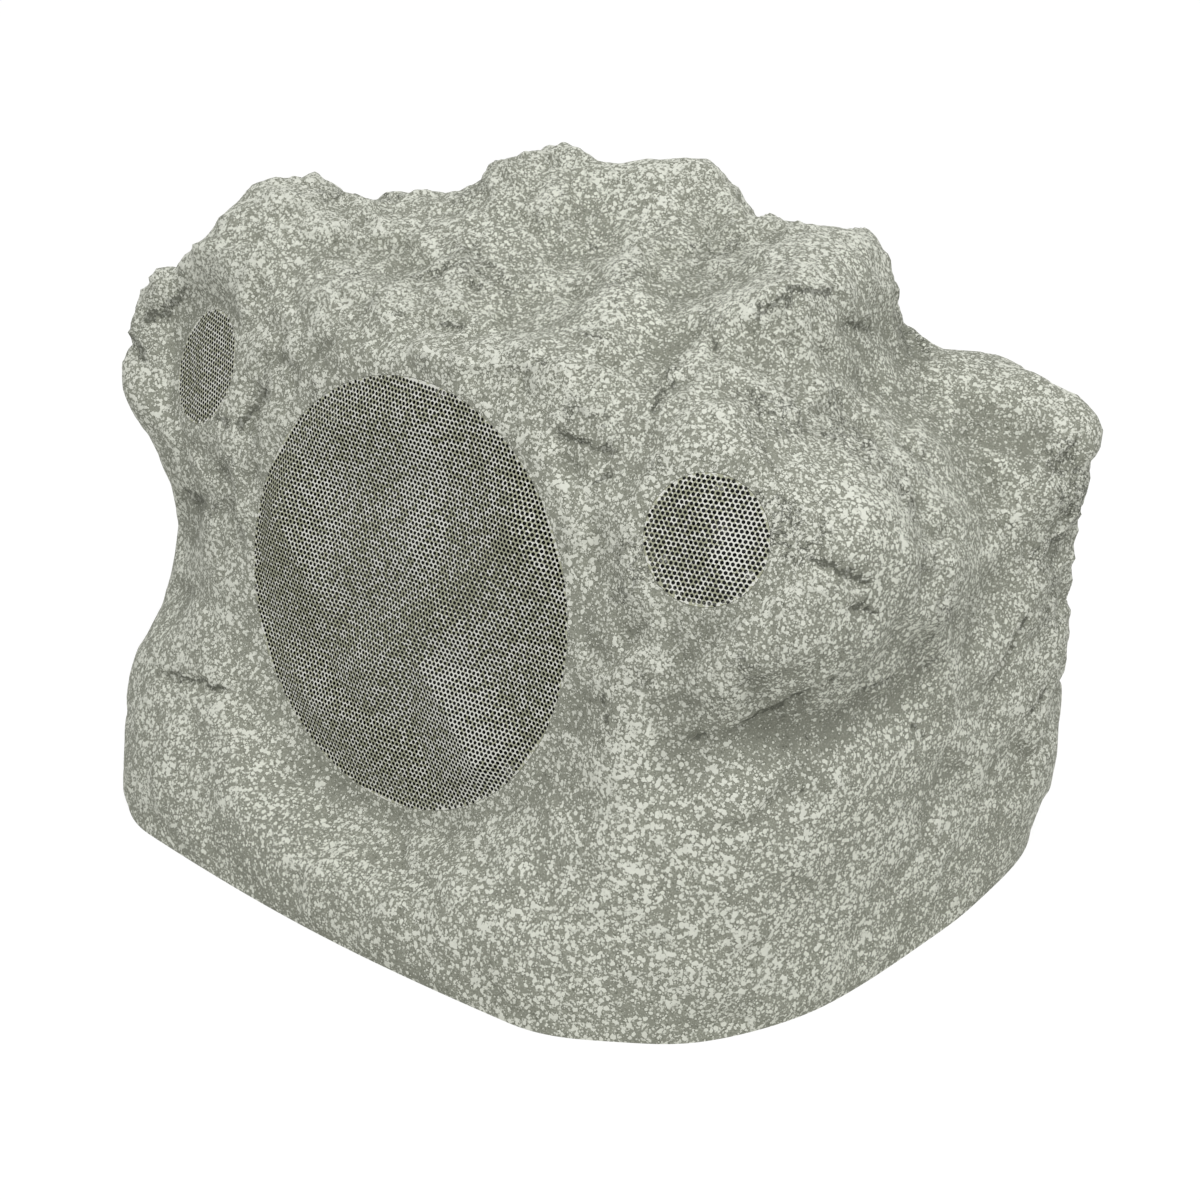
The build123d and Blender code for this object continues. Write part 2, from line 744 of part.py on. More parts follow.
with BuildPart() as woofer_spider:
    with BuildSketch(woofer.section_at(0)):
        with BuildLine():
            for arc in spider_waves_at(spider_front):
                ThreePointArc(*arc)
            Polyline(
                (spider_flat, -spider_front),
                (spider_outer, -spider_front),
                (spider_outer, -shelf_depth),
                (spider_flat, -shelf_depth),
            )
            for arc in spider_waves_at(shelf_depth):
                ThreePointArc(*arc)
            Line((spider_inner, -shelf_depth), (spider_inner, -spider_front))
        make_face()
    revolve(axis=woofer.axis)
keep(woofer_spider, "woofer_spider")

# Terminal board under the shelf of the basket, with two blades
terminal_depth = shelf_depth + basket_sheet
terminal_start = foot_radius + glue_line
terminal_middle = terminal_start + terminal_board_length / 2
with BuildPart() as woofer_terminal_board:
    with BuildSketch(woofer.at(terminal_depth)):
        with Locations((0, -terminal_middle)):
            RectangleRounded(terminal_board_width, terminal_board_length, terminal_board_thickness)
    extrude(amount=-terminal_board_thickness)
keep(woofer_terminal_board, "woofer_terminal_board")

with BuildPart() as woofer_terminals:
    with BuildSketch(woofer.at(terminal_depth + terminal_board_thickness)):
        with Locations((0, -terminal_middle)):
            with GridLocations(terminal_spacing, 0, 2, 1):
                Rectangle(terminal_width, terminal_sheet)
    extrude(amount=-terminal_height)
keep(woofer_terminals, "woofer_terminals")


def pan_screws(seat, flange_front, tip, circle, count, turn, shank, head, head_height, name):
    """Round of pan head screws with a cross slot, as separate solids."""
    with BuildPart() as screws:
        with BuildSketch(seat.at(tip)):
            with PolarLocations(circle / 2, count, start_angle=turn):
                Circle(shank / 2)
        extrude(amount=tip - flange_front)
        with BuildSketch(seat.at(flange_front)):
            with PolarLocations(circle / 2, count, start_angle=turn):
                Circle(head / 2)
        extrude(amount=head_height)
        with BuildSketch(seat.at(flange_front - head_height)):
            with PolarLocations(circle / 2, count, start_angle=turn):
                Rectangle(cross_slot_length_share * head, cross_slot_width)
                Rectangle(cross_slot_width, cross_slot_length_share * head)
        extrude(amount=-cross_slot_depth, mode=Mode.SUBTRACT)
    keep(screws, name)


pan_screws(
    woofer,
    woofer_flange_front,
    woofer_seat_depth + screw_bite - screw_tip_gap,
    woofer_screw_circle,
    woofer_screw_count,
    0,
    screw_shank_diameter,
    screw_head_diameter,
    screw_head_height,
    "woofer_screws",
)

# Tweeters: faceplate, dome with its rim, magnet pot, gasket and screws
dome_radius = dome_diameter / 2
rim_radius = dome_radius + dome_rim_width
rim_front = tweeter_flange_back - dome_sheet
for side, seat in tweeters.items():
    with BuildPart() as faceplate:
        with BuildSketch(seat.at(tweeter_flange_back)):
            Circle(tweeter_plate_diameter / 2)
            Circle(rim_radius + dome_clearance, mode=Mode.SUBTRACT)
            with PolarLocations(tweeter_screw_circle / 2, tweeter_screw_count, start_angle=90):
                Circle(small_screw_shank_diameter / 2 + screw_clearance, mode=Mode.SUBTRACT)
        extrude(amount=tweeter_plate_thickness)
        mouth = faceplate.faces().sort_by(seat.axis)[-1].edges().filter_by(GeomType.CIRCLE)
        chamfer(mouth.sort_by(SortBy.RADIUS)[-2], tweeter_plate_thickness / 2)
    keep(faceplate, f"tweeter_faceplate_{side}")

    with BuildPart() as dome:
        with BuildSketch(seat.section_at(0)):
            with BuildLine():
                top = ThreePointArc(*dome_arc(dome_radius, dome_rise, rim_front))
                low = ThreePointArc(*dome_arc(dome_radius - dome_sheet, dome_rise, tweeter_flange_back))
                Line(top @ 1, low @ 1)
                Polyline(low @ 0, (rim_radius, -tweeter_flange_back), (rim_radius, -rim_front), top @ 0)
            make_face()
        revolve(axis=seat.axis)
    keep(dome, f"tweeter_dome_{side}")

    with BuildPart() as pot:
        with BuildSketch(seat.at(tweeter_flange_back)):
            Circle(tweeter_pot_diameter / 2)
        extrude(amount=-tweeter_pot_height)
        chamfer(pot.faces().sort_by(seat.axis)[0].edges(), dome_rim_width / 2)
    keep(pot, f"tweeter_magnet_pot_{side}")

    with BuildPart() as ring:
        with BuildSketch(seat.at(tweeter_seat_depth)):
            Circle(tweeter_plate_diameter / 2)
            Circle(tweeter_cutout_diameter / 2, mode=Mode.SUBTRACT)
            with PolarLocations(tweeter_screw_circle / 2, tweeter_screw_count, start_angle=90):
                Circle(small_screw_shank_diameter / 2 + screw_clearance, mode=Mode.SUBTRACT)
        extrude(amount=tweeter_gasket_thickness)
    keep(ring, f"tweeter_gasket_{side}")

    pan_screws(
        seat,
        tweeter_flange_front,
        tweeter_seat_depth + small_screw_bite - screw_tip_gap,
        tweeter_screw_circle,
        tweeter_screw_count,
        90,
        small_screw_shank_diameter,
        small_screw_head_diameter,
        small_screw_head_height,
        f"tweeter_screws_{side}",
    )

# Base plate with ribs and the bosses of the crossover board
board_places = [
    (x * (board_length / 2 - standoff_inset), board_back + y * (board_width / 2 - standoff_inset))
    for x in (-1, 1)
    for y in (-1, 1)
]
board_bottom = base_plate_thickness + standoff_height
with BuildPart() as base_plate:
    with BuildSketch(Plane.XY):
        with BuildLine():
            add(rock_ring(0, rock_wall + base_plate_clearance))
        make_face()
    extrude(amount=base_plate_thickness)
    with BuildSketch(Plane.XY.offset(base_plate_thickness)):
        with GridLocations(0, base_rib_spacing, 1, base_rib_count):
            Rectangle(base_rib_length, base_rib_thickness)
    extrude(amount=base_rib_height)
    with BuildSketch(Plane.XY.offset(base_plate_thickness)):
        with Locations(*board_places):
            Circle(standoff_diameter / 2)
    extrude(amount=standoff_height)
    with BuildSketch(Plane.XY.offset(board_bottom)):
        with Locations(*board_places):
            Circle(small_screw_shank_diameter / 2 + screw_clearance)
    extrude(amount=-small_screw_bite, mode=Mode.SUBTRACT)
    with BuildSketch(Plane.XY):
        with Locations(*base_screw_places):
            Circle(base_screw_shank_diameter / 2 + screw_clearance)
    extrude(amount=base_plate_thickness, mode=Mode.SUBTRACT)
    with Locations(*base_screw_places):
        Cone(
            base_screw_head_diameter / 2 + screw_clearance,
            base_screw_shank_diameter / 2 + screw_clearance,
            base_screw_head_height,
            align=(Align.CENTER, Align.CENTER, Align.MIN),
            mode=Mode.SUBTRACT,
        )
keep(base_plate, "base_plate")

with BuildPart() as base_gasket:
    with BuildSketch(Plane.XY.offset(base_plate_thickness)):
        with BuildLine():
            add(rock_ring(0, rock_wall + base_plate_clearance + base_gasket_edge))
        make_face()
        with BuildLine():
            add(rock_ring(0, base_opening_inset - base_gasket_edge))
        make_face(mode=Mode.SUBTRACT)
        with Locations(*base_screw_places):
            Circle(base_screw_shank_diameter / 2 + screw_clearance, mode=Mode.SUBTRACT)
    extrude(amount=base_gasket_thickness)
keep(base_gasket, "base_gasket")

with BuildPart() as base_screws:
    with Locations(*base_screw_places):
        Cone(
            base_screw_head_diameter / 2,
            base_screw_shank_diameter / 2,
            base_screw_head_height,
            align=(Align.CENTER, Align.CENTER, Align.MIN),
        )
    with BuildSketch(Plane.XY.offset(base_screw_head_height)):
        with Locations(*base_screw_places):
            Circle(base_screw_shank_diameter / 2)
    extrude(amount=base_screw_length - base_screw_head_height)
    with BuildSketch(Plane.XY):
        with Locations(*base_screw_places):
            Rectangle(cross_slot_length_share * base_screw_head_diameter, cross_slot_width)
            Rectangle(cross_slot_width, cross_slot_length_share * base_screw_head_diameter)
    extrude(amount=cross_slot_depth, mode=Mode.SUBTRACT)
keep(base_screws, "base_screws")

# Cable gland: hexagon body, locknut inside the wall, seal and dome nut
hexagon_radius = gland_flats / math.sqrt(3)
neck_face = gland_face.offset(gland_flange_thickness)
inner_seat_face = gland_face.offset(gland_inner_seat - gland_outer_seat)
with BuildPart() as gland_body:
    with BuildSketch(gland_face):
        RegularPolygon(hexagon_radius, 6)
    extrude(amount=gland_flange_thickness)
    with BuildSketch(gland_face):
        Circle(gland_thread_diameter / 2)
    extrude(amount=-gland_thread_length)
    with BuildSketch(neck_face):
        Circle(gland_neck_diameter / 2)
    extrude(amount=gland_neck_length)
    with BuildSketch(neck_face):
        Circle(gland_neck_bore / 2)
    extrude(amount=gland_neck_length, mode=Mode.SUBTRACT)
    with BuildSketch(neck_face):
        Circle(gland_body_bore / 2)
    extrude(amount=-gland_flange_thickness - gland_thread_length, mode=Mode.SUBTRACT)
keep(gland_body, "cable_gland_body")

with BuildPart() as gland_locknut:
    with BuildSketch(inner_seat_face):
        RegularPolygon(hexagon_radius, 6)
        Circle(gland_thread_diameter / 2 + gland_fit_clearance, mode=Mode.SUBTRACT)
    extrude(amount=-gland_nut_thickness)
keep(gland_locknut, "cable_gland_locknut")

with BuildPart() as gland_seal:
    with BuildSketch(neck_face):
        Circle(gland_neck_bore / 2 - gland_fit_clearance)
        Circle(gland_cable_bore / 2, mode=Mode.SUBTRACT)
    extrude(amount=gland_neck_length)
keep(gland_seal, "cable_gland_seal")

with BuildPart() as gland_dome_nut:
    with BuildSketch(neck_face.offset(gland_fit_clearance)):
        Circle(gland_dome_diameter / 2)
    extrude(amount=gland_neck_length + gland_cap_thickness)
    fillet(gland_dome_nut.faces().sort_by(Axis.Y)[-1].edges(), gland_cap_edge)
    with BuildSketch(neck_face.offset(gland_fit_clearance)):
        Circle(gland_neck_diameter / 2 + gland_fit_clearance)
    extrude(amount=gland_neck_length, mode=Mode.SUBTRACT)
    with BuildSketch(neck_face):
        Circle(gland_body_bore / 2)
    extrude(amount=gland_neck_length + 2 * gland_cap_thickness, mode=Mode.SUBTRACT)
keep(gland_dome_nut, "cable_gland_dome_nut")

# Crossover board and its parts
board_top = board_bottom + board_thickness
with BuildPart() as crossover_board:
    with BuildSketch(Plane.XY.offset(board_bottom)):
        with Locations((0, board_back)):
            Rectangle(board_length, board_width)
        with Locations(*board_places):
            Circle(small_screw_shank_diameter / 2 + screw_clearance, mode=Mode.SUBTRACT)
    extrude(amount=board_thickness)
keep(crossover_board, "crossover_board")

with BuildPart() as crossover_screws:
    with BuildSketch(Plane.XY.offset(board_top)):
        with Locations(*board_places):
            Circle(small_screw_head_diameter / 2)
    extrude(amount=small_screw_head_height)
    with BuildSketch(Plane.XY.offset(board_top)):
        with Locations(*board_places):
            Circle(small_screw_shank_diameter / 2)
    extrude(amount=-board_thickness - small_screw_bite + screw_tip_gap)
keep(crossover_screws, "crossover_screws")

with BuildPart() as crossover_inductors:
    with BuildSketch(Plane.XY.offset(board_top)):
        with Locations((0, board_back - board_row)):
            with GridLocations(inductor_spacing, 0, 2, 1):
                Circle(inductor_diameter / 2)
                Circle(inductor_bore / 2, mode=Mode.SUBTRACT)
    extrude(amount=inductor_height)
keep(crossover_inductors, "crossover_inductors")

capacitor_plane = Plane(
    origin=(-capacitor_length / 2 - capacitor_spacing, board_back, board_top + capacitor_diameter / 2),
    x_dir=(0, 1, 0),
    z_dir=(1, 0, 0),
)
with BuildPart() as crossover_capacitors:
    with BuildSketch(capacitor_plane):
        with Locations((board_row, 0)):
            with GridLocations(capacitor_spacing, 0, 2, 1):
                Circle(capacitor_diameter / 2)
    extrude(amount=capacitor_length)
keep(crossover_capacitors, "crossover_capacitors")

with BuildPart() as crossover_resistors:
    with BuildSketch(Plane.XY.offset(board_top)):
        with Locations((board_length / 4, board_back + board_row)):
            with GridLocations(0, resistor_spacing, 1, 2):
                Rectangle(resistor_length, resistor_section)
    extrude(amount=resistor_section)
keep(crossover_resistors, "crossover_resistors")
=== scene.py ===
"""Visible pieces, finishes and stage of a rock shaped garden speaker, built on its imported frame."""

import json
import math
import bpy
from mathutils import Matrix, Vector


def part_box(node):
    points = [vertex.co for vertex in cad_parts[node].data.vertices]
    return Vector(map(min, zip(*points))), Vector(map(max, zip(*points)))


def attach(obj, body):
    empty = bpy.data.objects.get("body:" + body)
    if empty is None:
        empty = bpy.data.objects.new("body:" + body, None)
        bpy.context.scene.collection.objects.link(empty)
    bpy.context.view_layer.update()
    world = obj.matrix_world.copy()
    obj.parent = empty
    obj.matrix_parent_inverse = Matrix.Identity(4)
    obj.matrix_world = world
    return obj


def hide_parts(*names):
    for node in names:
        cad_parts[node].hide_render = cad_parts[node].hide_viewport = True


bl_info = {
    "name": "Rock Shaped Garden Speaker",
    "version": (1, 0, 0),
    "blender": (4, 5, 0),
    "location": "3D View > Sidebar > Speaker",
    "description": "Stone housing, perforated grilles, finishes and stage of a garden speaker",
    "category": "Object",
}

import bpy
import numpy as np
from mathutils import Vector

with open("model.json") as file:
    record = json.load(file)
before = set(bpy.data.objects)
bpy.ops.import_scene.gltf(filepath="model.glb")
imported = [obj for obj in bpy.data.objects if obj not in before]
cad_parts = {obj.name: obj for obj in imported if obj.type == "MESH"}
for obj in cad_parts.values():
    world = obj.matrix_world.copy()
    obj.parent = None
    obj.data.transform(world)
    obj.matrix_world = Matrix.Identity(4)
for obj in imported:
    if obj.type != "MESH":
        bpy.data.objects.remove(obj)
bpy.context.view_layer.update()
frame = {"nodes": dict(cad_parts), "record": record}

MM = 0.001
PHOTO_PIXELS = 1200

# Facets of the plain boulder: yaw from the front, tilt upward, share of the way to the box corner
FACETS = (
    (0, 66, 0.81),
    (0, 90, 1.00),
    (62, 28, 0.71),
    (-62, 30, 0.74),
    (110, 55, 0.73),
    (150, 50, 0.72),
    (-100, 50, 0.79),
    (-150, 45, 0.74),
    (180, 35, 0.85),
)

# Ridges and hollows: start and end as shares of half width, half depth and height, width and rise in mm
RELIEF = (
    # Skirt that flares in front of the woofer, and the foot of the right side
    ((-0.52, -0.82, 0.05), (0.46, -0.82, 0.05), 42, 36),
    ((0.96, -0.36, 0.03), (1.00, 0.10, 0.03), 30, 4),
    # Left waist and the skirt corner below it
    ((-0.83, -0.64, 0.37), (-0.83, -0.54, 0.52), 24, -19),
    ((-0.79, -0.68, 0.20), (-0.79, -0.68, 0.23), 24, 6),
    # Bulge that carries the left tweeter, and the notch behind it
    ((-0.90, -0.49, 0.63), (-0.90, -0.41, 0.71), 22, 44),
    ((-0.80, -0.36, 0.80), (-0.77, -0.26, 0.84), 13, -14),
    # Bulge that carries the right tweeter, its lower shoulder and a lump on it
    ((0.67, -0.41, 0.82), (0.83, -0.22, 0.73), 32, 18),
    ((0.90, -0.38, 0.72), (0.90, -0.46, 0.62), 24, 18),
    ((0.90, -0.24, 0.69), (0.93, -0.14, 0.66), 14, 5),
    # Brow above the woofer, the pit over it and the edge at its right
    ((-0.28, -0.49, 0.89), (0.28, -0.46, 0.90), 18, 8),
    ((-0.10, -0.42, 0.91), (0.02, -0.41, 0.92), 12, -6),
    ((0.56, -0.62, 0.60), (0.66, -0.76, 0.24), 16, 6),
    # Valley between the brow and the right tweeter, with the pit at its foot
    ((0.52, -0.52, 0.67), (0.49, -0.35, 0.87), 16, -8),
    ((0.40, -0.54, 0.82), (0.48, -0.50, 0.81), 12, -5),
    # Crease under the right bulge, with the lip and the lump above it
    ((0.80, -0.63, 0.43), (0.92, -0.50, 0.48), 13, -9),
    ((0.92, -0.50, 0.48), (0.98, -0.10, 0.46), 13, -9),
    ((0.86, -0.54, 0.56), (0.96, -0.28, 0.57), 15, 7),
    ((0.90, -0.13, 0.64), (0.92, -0.05, 0.62), 18, 8),
    # Plateau at the upper left, the ledge before it and the saddle behind it
    ((-0.77, -0.36, 0.83), (-0.65, -0.20, 0.91), 25, 47),
    ((-0.52, -0.42, 0.87), (-0.36, -0.40, 0.90), 13, 6),
    ((-0.44, -0.04, 0.95), (-0.32, 0.06, 0.97), 18, 11),
    # Two humps of the crown, the ridges that run forward from them and the valley between
    ((-0.22, 0.17, 0.98), (-0.20, 0.23, 0.98), 17, 28),
    ((0.00, 0.30, 0.97), (0.04, 0.39, 0.97), 18, 31),
    ((0.20, 0.33, 0.95), (0.26, 0.36, 0.94), 14, 8),
    ((-0.14, -0.30, 0.93), (-0.20, 0.02, 0.97), 16, 8),
    ((0.10, -0.28, 0.93), (0.00, 0.08, 0.97), 15, -7),
    ((0.28, -0.30, 0.92), (0.12, 0.16, 0.97), 16, 8),
    # Hump behind the right tweeter, the valley at its left and the hollow under its lip
    ((0.50, 0.06, 0.88), (0.38, 0.42, 0.87), 25, 42),
    ((0.40, -0.22, 0.92), (0.32, 0.06, 0.95), 13, -8),
    ((0.58, -0.08, 0.88), (0.64, 0.18, 0.84), 11, -9),
    # Knob and corner at the back right, and the edge and hollow in front of them
    ((0.81, 0.57, 0.68), (0.69, 0.66, 0.77), 20, 44),
    ((0.95, 0.63, 0.18), (0.93, 0.63, 0.57), 34, 14),
    ((0.84, 0.22, 0.76), (0.97, 0.05, 0.58), 14, 6),
    ((0.86, 0.42, 0.72), (0.98, 0.28, 0.52), 16, -8),
    # Ridges and hollows of the left side and the back
    ((-0.97, 0.00, 0.22), (-0.92, 0.24, 0.62), 22, -9),
    ((-0.88, 0.52, 0.25), (-0.78, 0.58, 0.60), 22, 9),
    ((-0.60, 0.80, 0.60), (-0.30, 0.93, 0.42), 22, 8),
    ((0.28, 0.90, 0.60), (0.52, 0.88, 0.28), 20, -8),
    ((-0.28, 0.62, 0.88), (0.12, 0.70, 0.82), 18, 8),
)

# Pits and cracks: start and end as pixels of the photograph, half width and depth in mm
WEAR = (
    # Brow and crown
    ((430, 322), (460, 326), 2.4, 2.6),
    ((466, 280), (478, 284), 1.6, 1.6),
    ((568, 333), (603, 340), 1.8, 2.2),
    ((590, 246), (592, 256), 1.4, 1.5),
    ((562, 437), (610, 455), 2.6, 2.6),
    ((597, 484), (611, 476), 1.5, 1.6),
    ((656, 410), (666, 388), 2.2, 2.2),
    ((711, 338), (716, 348), 1.6, 1.8),
    ((745, 264), (751, 256), 1.6, 1.8),
    # Hump behind the right tweeter
    ((768, 312), (796, 298), 4.0, 3.6),
    ((796, 296), (838, 296), 3.6, 3.4),
    ((852, 326), (876, 332), 3.0, 3.0),
    ((902, 360), (922, 371), 2.4, 2.6),
    ((780, 392), (826, 434), 1.8, 1.6),
    # Left bulge
    ((156, 326), (166, 310), 5.5, 3.0),
    ((172, 306), (185, 297), 3.6, 2.0),
    ((131, 340), (141, 354), 4.5, 2.4),
    ((243, 426), (262, 396), 3.4, 2.0),
    ((217, 418), (222, 426), 2.8, 1.6),
    ((191, 496), (206, 504), 4.2, 2.4),
    # Right bulge
    ((816, 566), (866, 586), 3.4, 3.2),
    ((850, 606), (876, 612), 2.0, 2.2),
    ((905, 470), (918, 520), 1.8, 1.8),
    # Overhang at the lower right
    ((690, 742), (766, 712), 2.2, 2.0),
    ((766, 712), (830, 682), 2.0, 2.4),
    ((862, 693), (892, 678), 1.8, 2.2),
    ((922, 672), (940, 656), 1.6, 1.8),
    ((764, 800), (806, 794), 1.3, 1.2),
    ((804, 737), (810, 732), 1.5, 1.6),
    ((914, 724), (922, 736), 1.5, 1.6),
    # Right side
    ((1010, 662), (1024, 618), 2.0, 2.2),
    ((994, 682), (1002, 672), 1.6, 1.8),
    ((1028, 714), (1046, 694), 2.0, 2.0),
    ((1062, 470), (1080, 440), 2.6, 2.8),
    # Left skirt and the front below the woofer
    ((158, 672), (224, 690), 3.0, 3.0),
    ((604, 690), (608, 740), 1.4, 1.2),
)

# Painted shade: places painted darker where the light leaves the stone dim: pixel of the photograph, reach
# in mm, strength
PAINTED_SHADE_SPOTS = (
    ((1025, 430), 28, 1.5),
    ((330, 352), 24, 0.8),
    ((430, 350), 24, 0.8),
    ((730, 655), 34, 0.9),
    ((740, 750), 26, 1.2),
    ((820, 735), 26, 1.2),
)

# Pressed folds of the grilles: start and end as shares of the radius, width as a share, rise in mm
FOLDS = {
    "woofer_grille": (
        ((-0.93, 0.25), (-0.54, -0.09), 0.42, 6.5),
        ((-0.54, -0.09), (0.05, 0.22), 0.36, 5.0),
        ((-0.13, -0.40), (0.28, -0.01), 0.36, 7.0),
        ((0.28, -0.01), (0.63, 0.44), 0.36, 5.5),
        ((0.18, -0.26), (0.63, -0.66), 0.32, 6.0),
        ((-0.63, 0.66), (-0.08, 0.80), 0.34, 3.5),
        ((-0.57, -0.64), (-0.05, -0.70), 0.34, 4.0),
    ),
    "tweeter_grille_left": (((-0.30, 0.40), (0.20, -0.45), 0.60, 1.2),),
    "tweeter_grille_right": (
        ((-0.22, 0.44), (0.00, 0.00), 0.60, 2.6),
        ((0.00, 0.00), (0.30, -0.49), 0.60, 3.0),
    ),
}

# Painted light and shade on facets of the grilles, more pale coat where a facet faces the light and less
# where it faces away: start, end and width as shares of the radius, gain
FACET_LIGHT = {
    "woofer_grille": (
        ((-0.54, 0.35), (-0.50, 0.05), 0.10, 0.35),
        ((0.08, 0.75), (0.14, 0.22), 0.10, 0.35),
        ((0.38, -0.20), (0.62, -0.75), 0.13, 0.50),
        ((-0.85, 0.20), (-0.65, -0.20), 0.16, -0.25),
        ((0.15, -0.15), (0.62, 0.42), 0.10, -0.30),
    ),
    "tweeter_grille_left": (((0.30, 0.50), (0.30, -0.40), 0.30, 0.15),),
    "tweeter_grille_right": (
        ((0.40, 0.35), (0.55, -0.25), 0.30, 0.55),
        ((-0.35, 0.05), (-0.10, -0.50), 0.24, -0.20),
    ),
}


def linear(code):
    """Linear colour with alpha from an sRGB hex code: a straight foot, then a power of 2.4."""
    parts = [int(code[i : i + 2], 16) / 255 for i in (1, 3, 5)]
    return tuple(p / 12.92 if p <= 0.04045 else ((p + 0.055) / 1.055) ** 2.4 for p in parts) + (1.0,)


def length(name, description, default):
    """Property for a length in metres."""
    return bpy.props.FloatProperty(
        name=name, description=description, default=default, subtype="DISTANCE", unit="LENGTH", precision=5
    )


def number(name, description, default, subtype="UNSIGNED"):
    """Property for a number that is no length."""
    return bpy.props.FloatProperty(name=name, description=description, default=default, subtype=subtype)


def whole(name, description, default):
    """Property for a count."""
    return bpy.props.IntProperty(name=name, description=description, default=default, subtype="UNSIGNED")


def spot(name, description, default):
    """Property for a point in metres."""
    return bpy.props.FloatVectorProperty(name=name, description=description, default=default, subtype="XYZ")


def colour(name, description, code):
    """Property for a colour, with its default as an sRGB hex code."""
    return bpy.props.FloatVectorProperty(
        name=name, description=description, default=linear(code), subtype="COLOR", size=4, min=0, max=1
    )


class StoneSettings(bpy.types.PropertyGroup):
    """Sizes of the moulded stone housing."""

    half_width: length("Half Width", "Half of the plain boulder's width", 216 * MM)
    half_depth: length("Half Depth", "Half of the plain boulder's depth", 184 * MM)
    height: length("Height", "Height of the plain boulder", 300 * MM)
    wall: length("Wall", "Thickness of the moulded wall", 6 * MM)
    ledge_width: length("Ledge Width", "Width of the ledge over the base plate", 15 * MM)
    ledge_bottom: length("Ledge Bottom", "Height of the ledge's underside", 7 * MM)
    ledge_top: length("Ledge Top", "Height of the ledge's top", 16 * MM)
    flat_proud: length("Flat Proud", "How far the facets stand before the grilles", 1 * MM)
    flat_margin: length("Flat Margin", "Flat border of the stone round a grille", 4 * MM)
    boss_inset: length("Boss Inset", "From the outline to the middle of a screw boss", 15 * MM)
    boss_radius: length("Boss Radius", "Radius of a screw boss", 6.5 * MM)
    boss_top: length("Boss Top", "Height of the screw bosses", 34 * MM)
    screw_hole: length("Screw Hole", "Radius of a hole for a base screw", 2.1 * MM)
    screw_top: length("Screw Top", "Height of the end of a screw hole", 22 * MM)
    gland_depth: length("Gland Depth", "Depth of the spot faces for the cable gland", 0.6 * MM)
    gland_radius: length("Gland Radius", "Radius of the spot faces for the cable gland", 11 * MM)
    gland_hole: length("Gland Hole", "Radius of the hole for the cable gland", 6.2 * MM)
    crumb_rise: length("Crumb Rise", "Height of the small crumbs", 0.35 * MM)
    chip_slope: number("Chip Slope", "Tilt of the broken faces", 0.24)
    plan_power: number("Plan Power", "Squareness of the plan", 3.2)
    facet_power: number("Facet Power", "Sharpness of the facets", 18)
    lift_power: number("Lift Power", "Turn of the relief upward", 1.5)
    screws: whole("Screws", "Base screws round the ledge", 8)
    columns: whole("Columns", "Grid points round the stone", 440)
    rows: whole("Rows", "Grid rows from the ground to the crown", 188)


class GrilleSettings(bpy.types.PropertyGroup):
    """Sizes of the perforated grilles and of the wells behind them."""

    pitch: length("Pitch", "Distance between two holes", 2.36 * MM)
    hole: length("Hole", "Width of a hole across its flats", 1.68 * MM)
    sheet: length("Sheet", "Thickness of the sheet", 0.6 * MM)
    clearance: length("Clearance", "Gap between a grille and the stone", 0.12 * MM)
    woofer_rim: length("Woofer Rim", "Depth of the woofer grille's rim", 4 * MM)
    tweeter_rim: length("Tweeter Rim", "Depth of a tweeter grille's rim", 3 * MM)
    woofer_well: length("Woofer Well", "Radius of the woofer's well", 100.5 * MM)
    woofer_seat: length("Woofer Seat", "Depth of the woofer's seat", 20 * MM)
    woofer_opening: length("Woofer Opening", "Radius of the opening behind the seat", 92 * MM)
    woofer_baffle: length("Woofer Baffle", "Depth of the baffle's back", 34 * MM)
    woofer_border: length("Woofer Border", "Baffle outside the grille", 12 * MM)
    tweeter_well: length("Tweeter Well", "Radius of a tweeter's well", 26.9 * MM)
    tweeter_seat: length("Tweeter Seat", "Depth of a tweeter's seat", 11 * MM)
    tweeter_opening: length("Tweeter Opening", "Radius of the opening behind the seat", 20 * MM)
    tweeter_baffle: length("Tweeter Baffle", "Depth of the baffle's back", 19 * MM)
    tweeter_border: length("Tweeter Border", "Baffle outside the grille", 8 * MM)


class FinishSettings(bpy.types.PropertyGroup):
    """Colours of the finishes."""

    stone_ground: colour("Stone Ground", "Sprayed ground coat", "#95978a")
    stone_fleck: colour("Stone Fleck", "Ground coat round the flakes", "#6e7063")
    stone_grain: colour("Stone Grain", "Fine grey grains", "#acaea0")
    stone_flake: colour("Stone Flake", "Grey flakes", "#d4d6ca")
    stone_bright: colour("Stone Bright", "Brightest flakes", "#eaece0")
    # Painted shade in pits, cracks and hollows
    stone_shade: colour("Stone Hollow", "Ground coat in pits and cracks", "#3c3f33")
    grille_ground: colour("Grille Ground", "Darker coat of the webs", "#aeb098")
    grille_flake: colour("Grille Flake", "Paler coat of the webs", "#ecede4")
    # Painted shade: near black for the hole walls and the back of the sheet
    grille_hole_shade: colour("Grille Bare", "Hole walls and back of the sheet", "#161713")


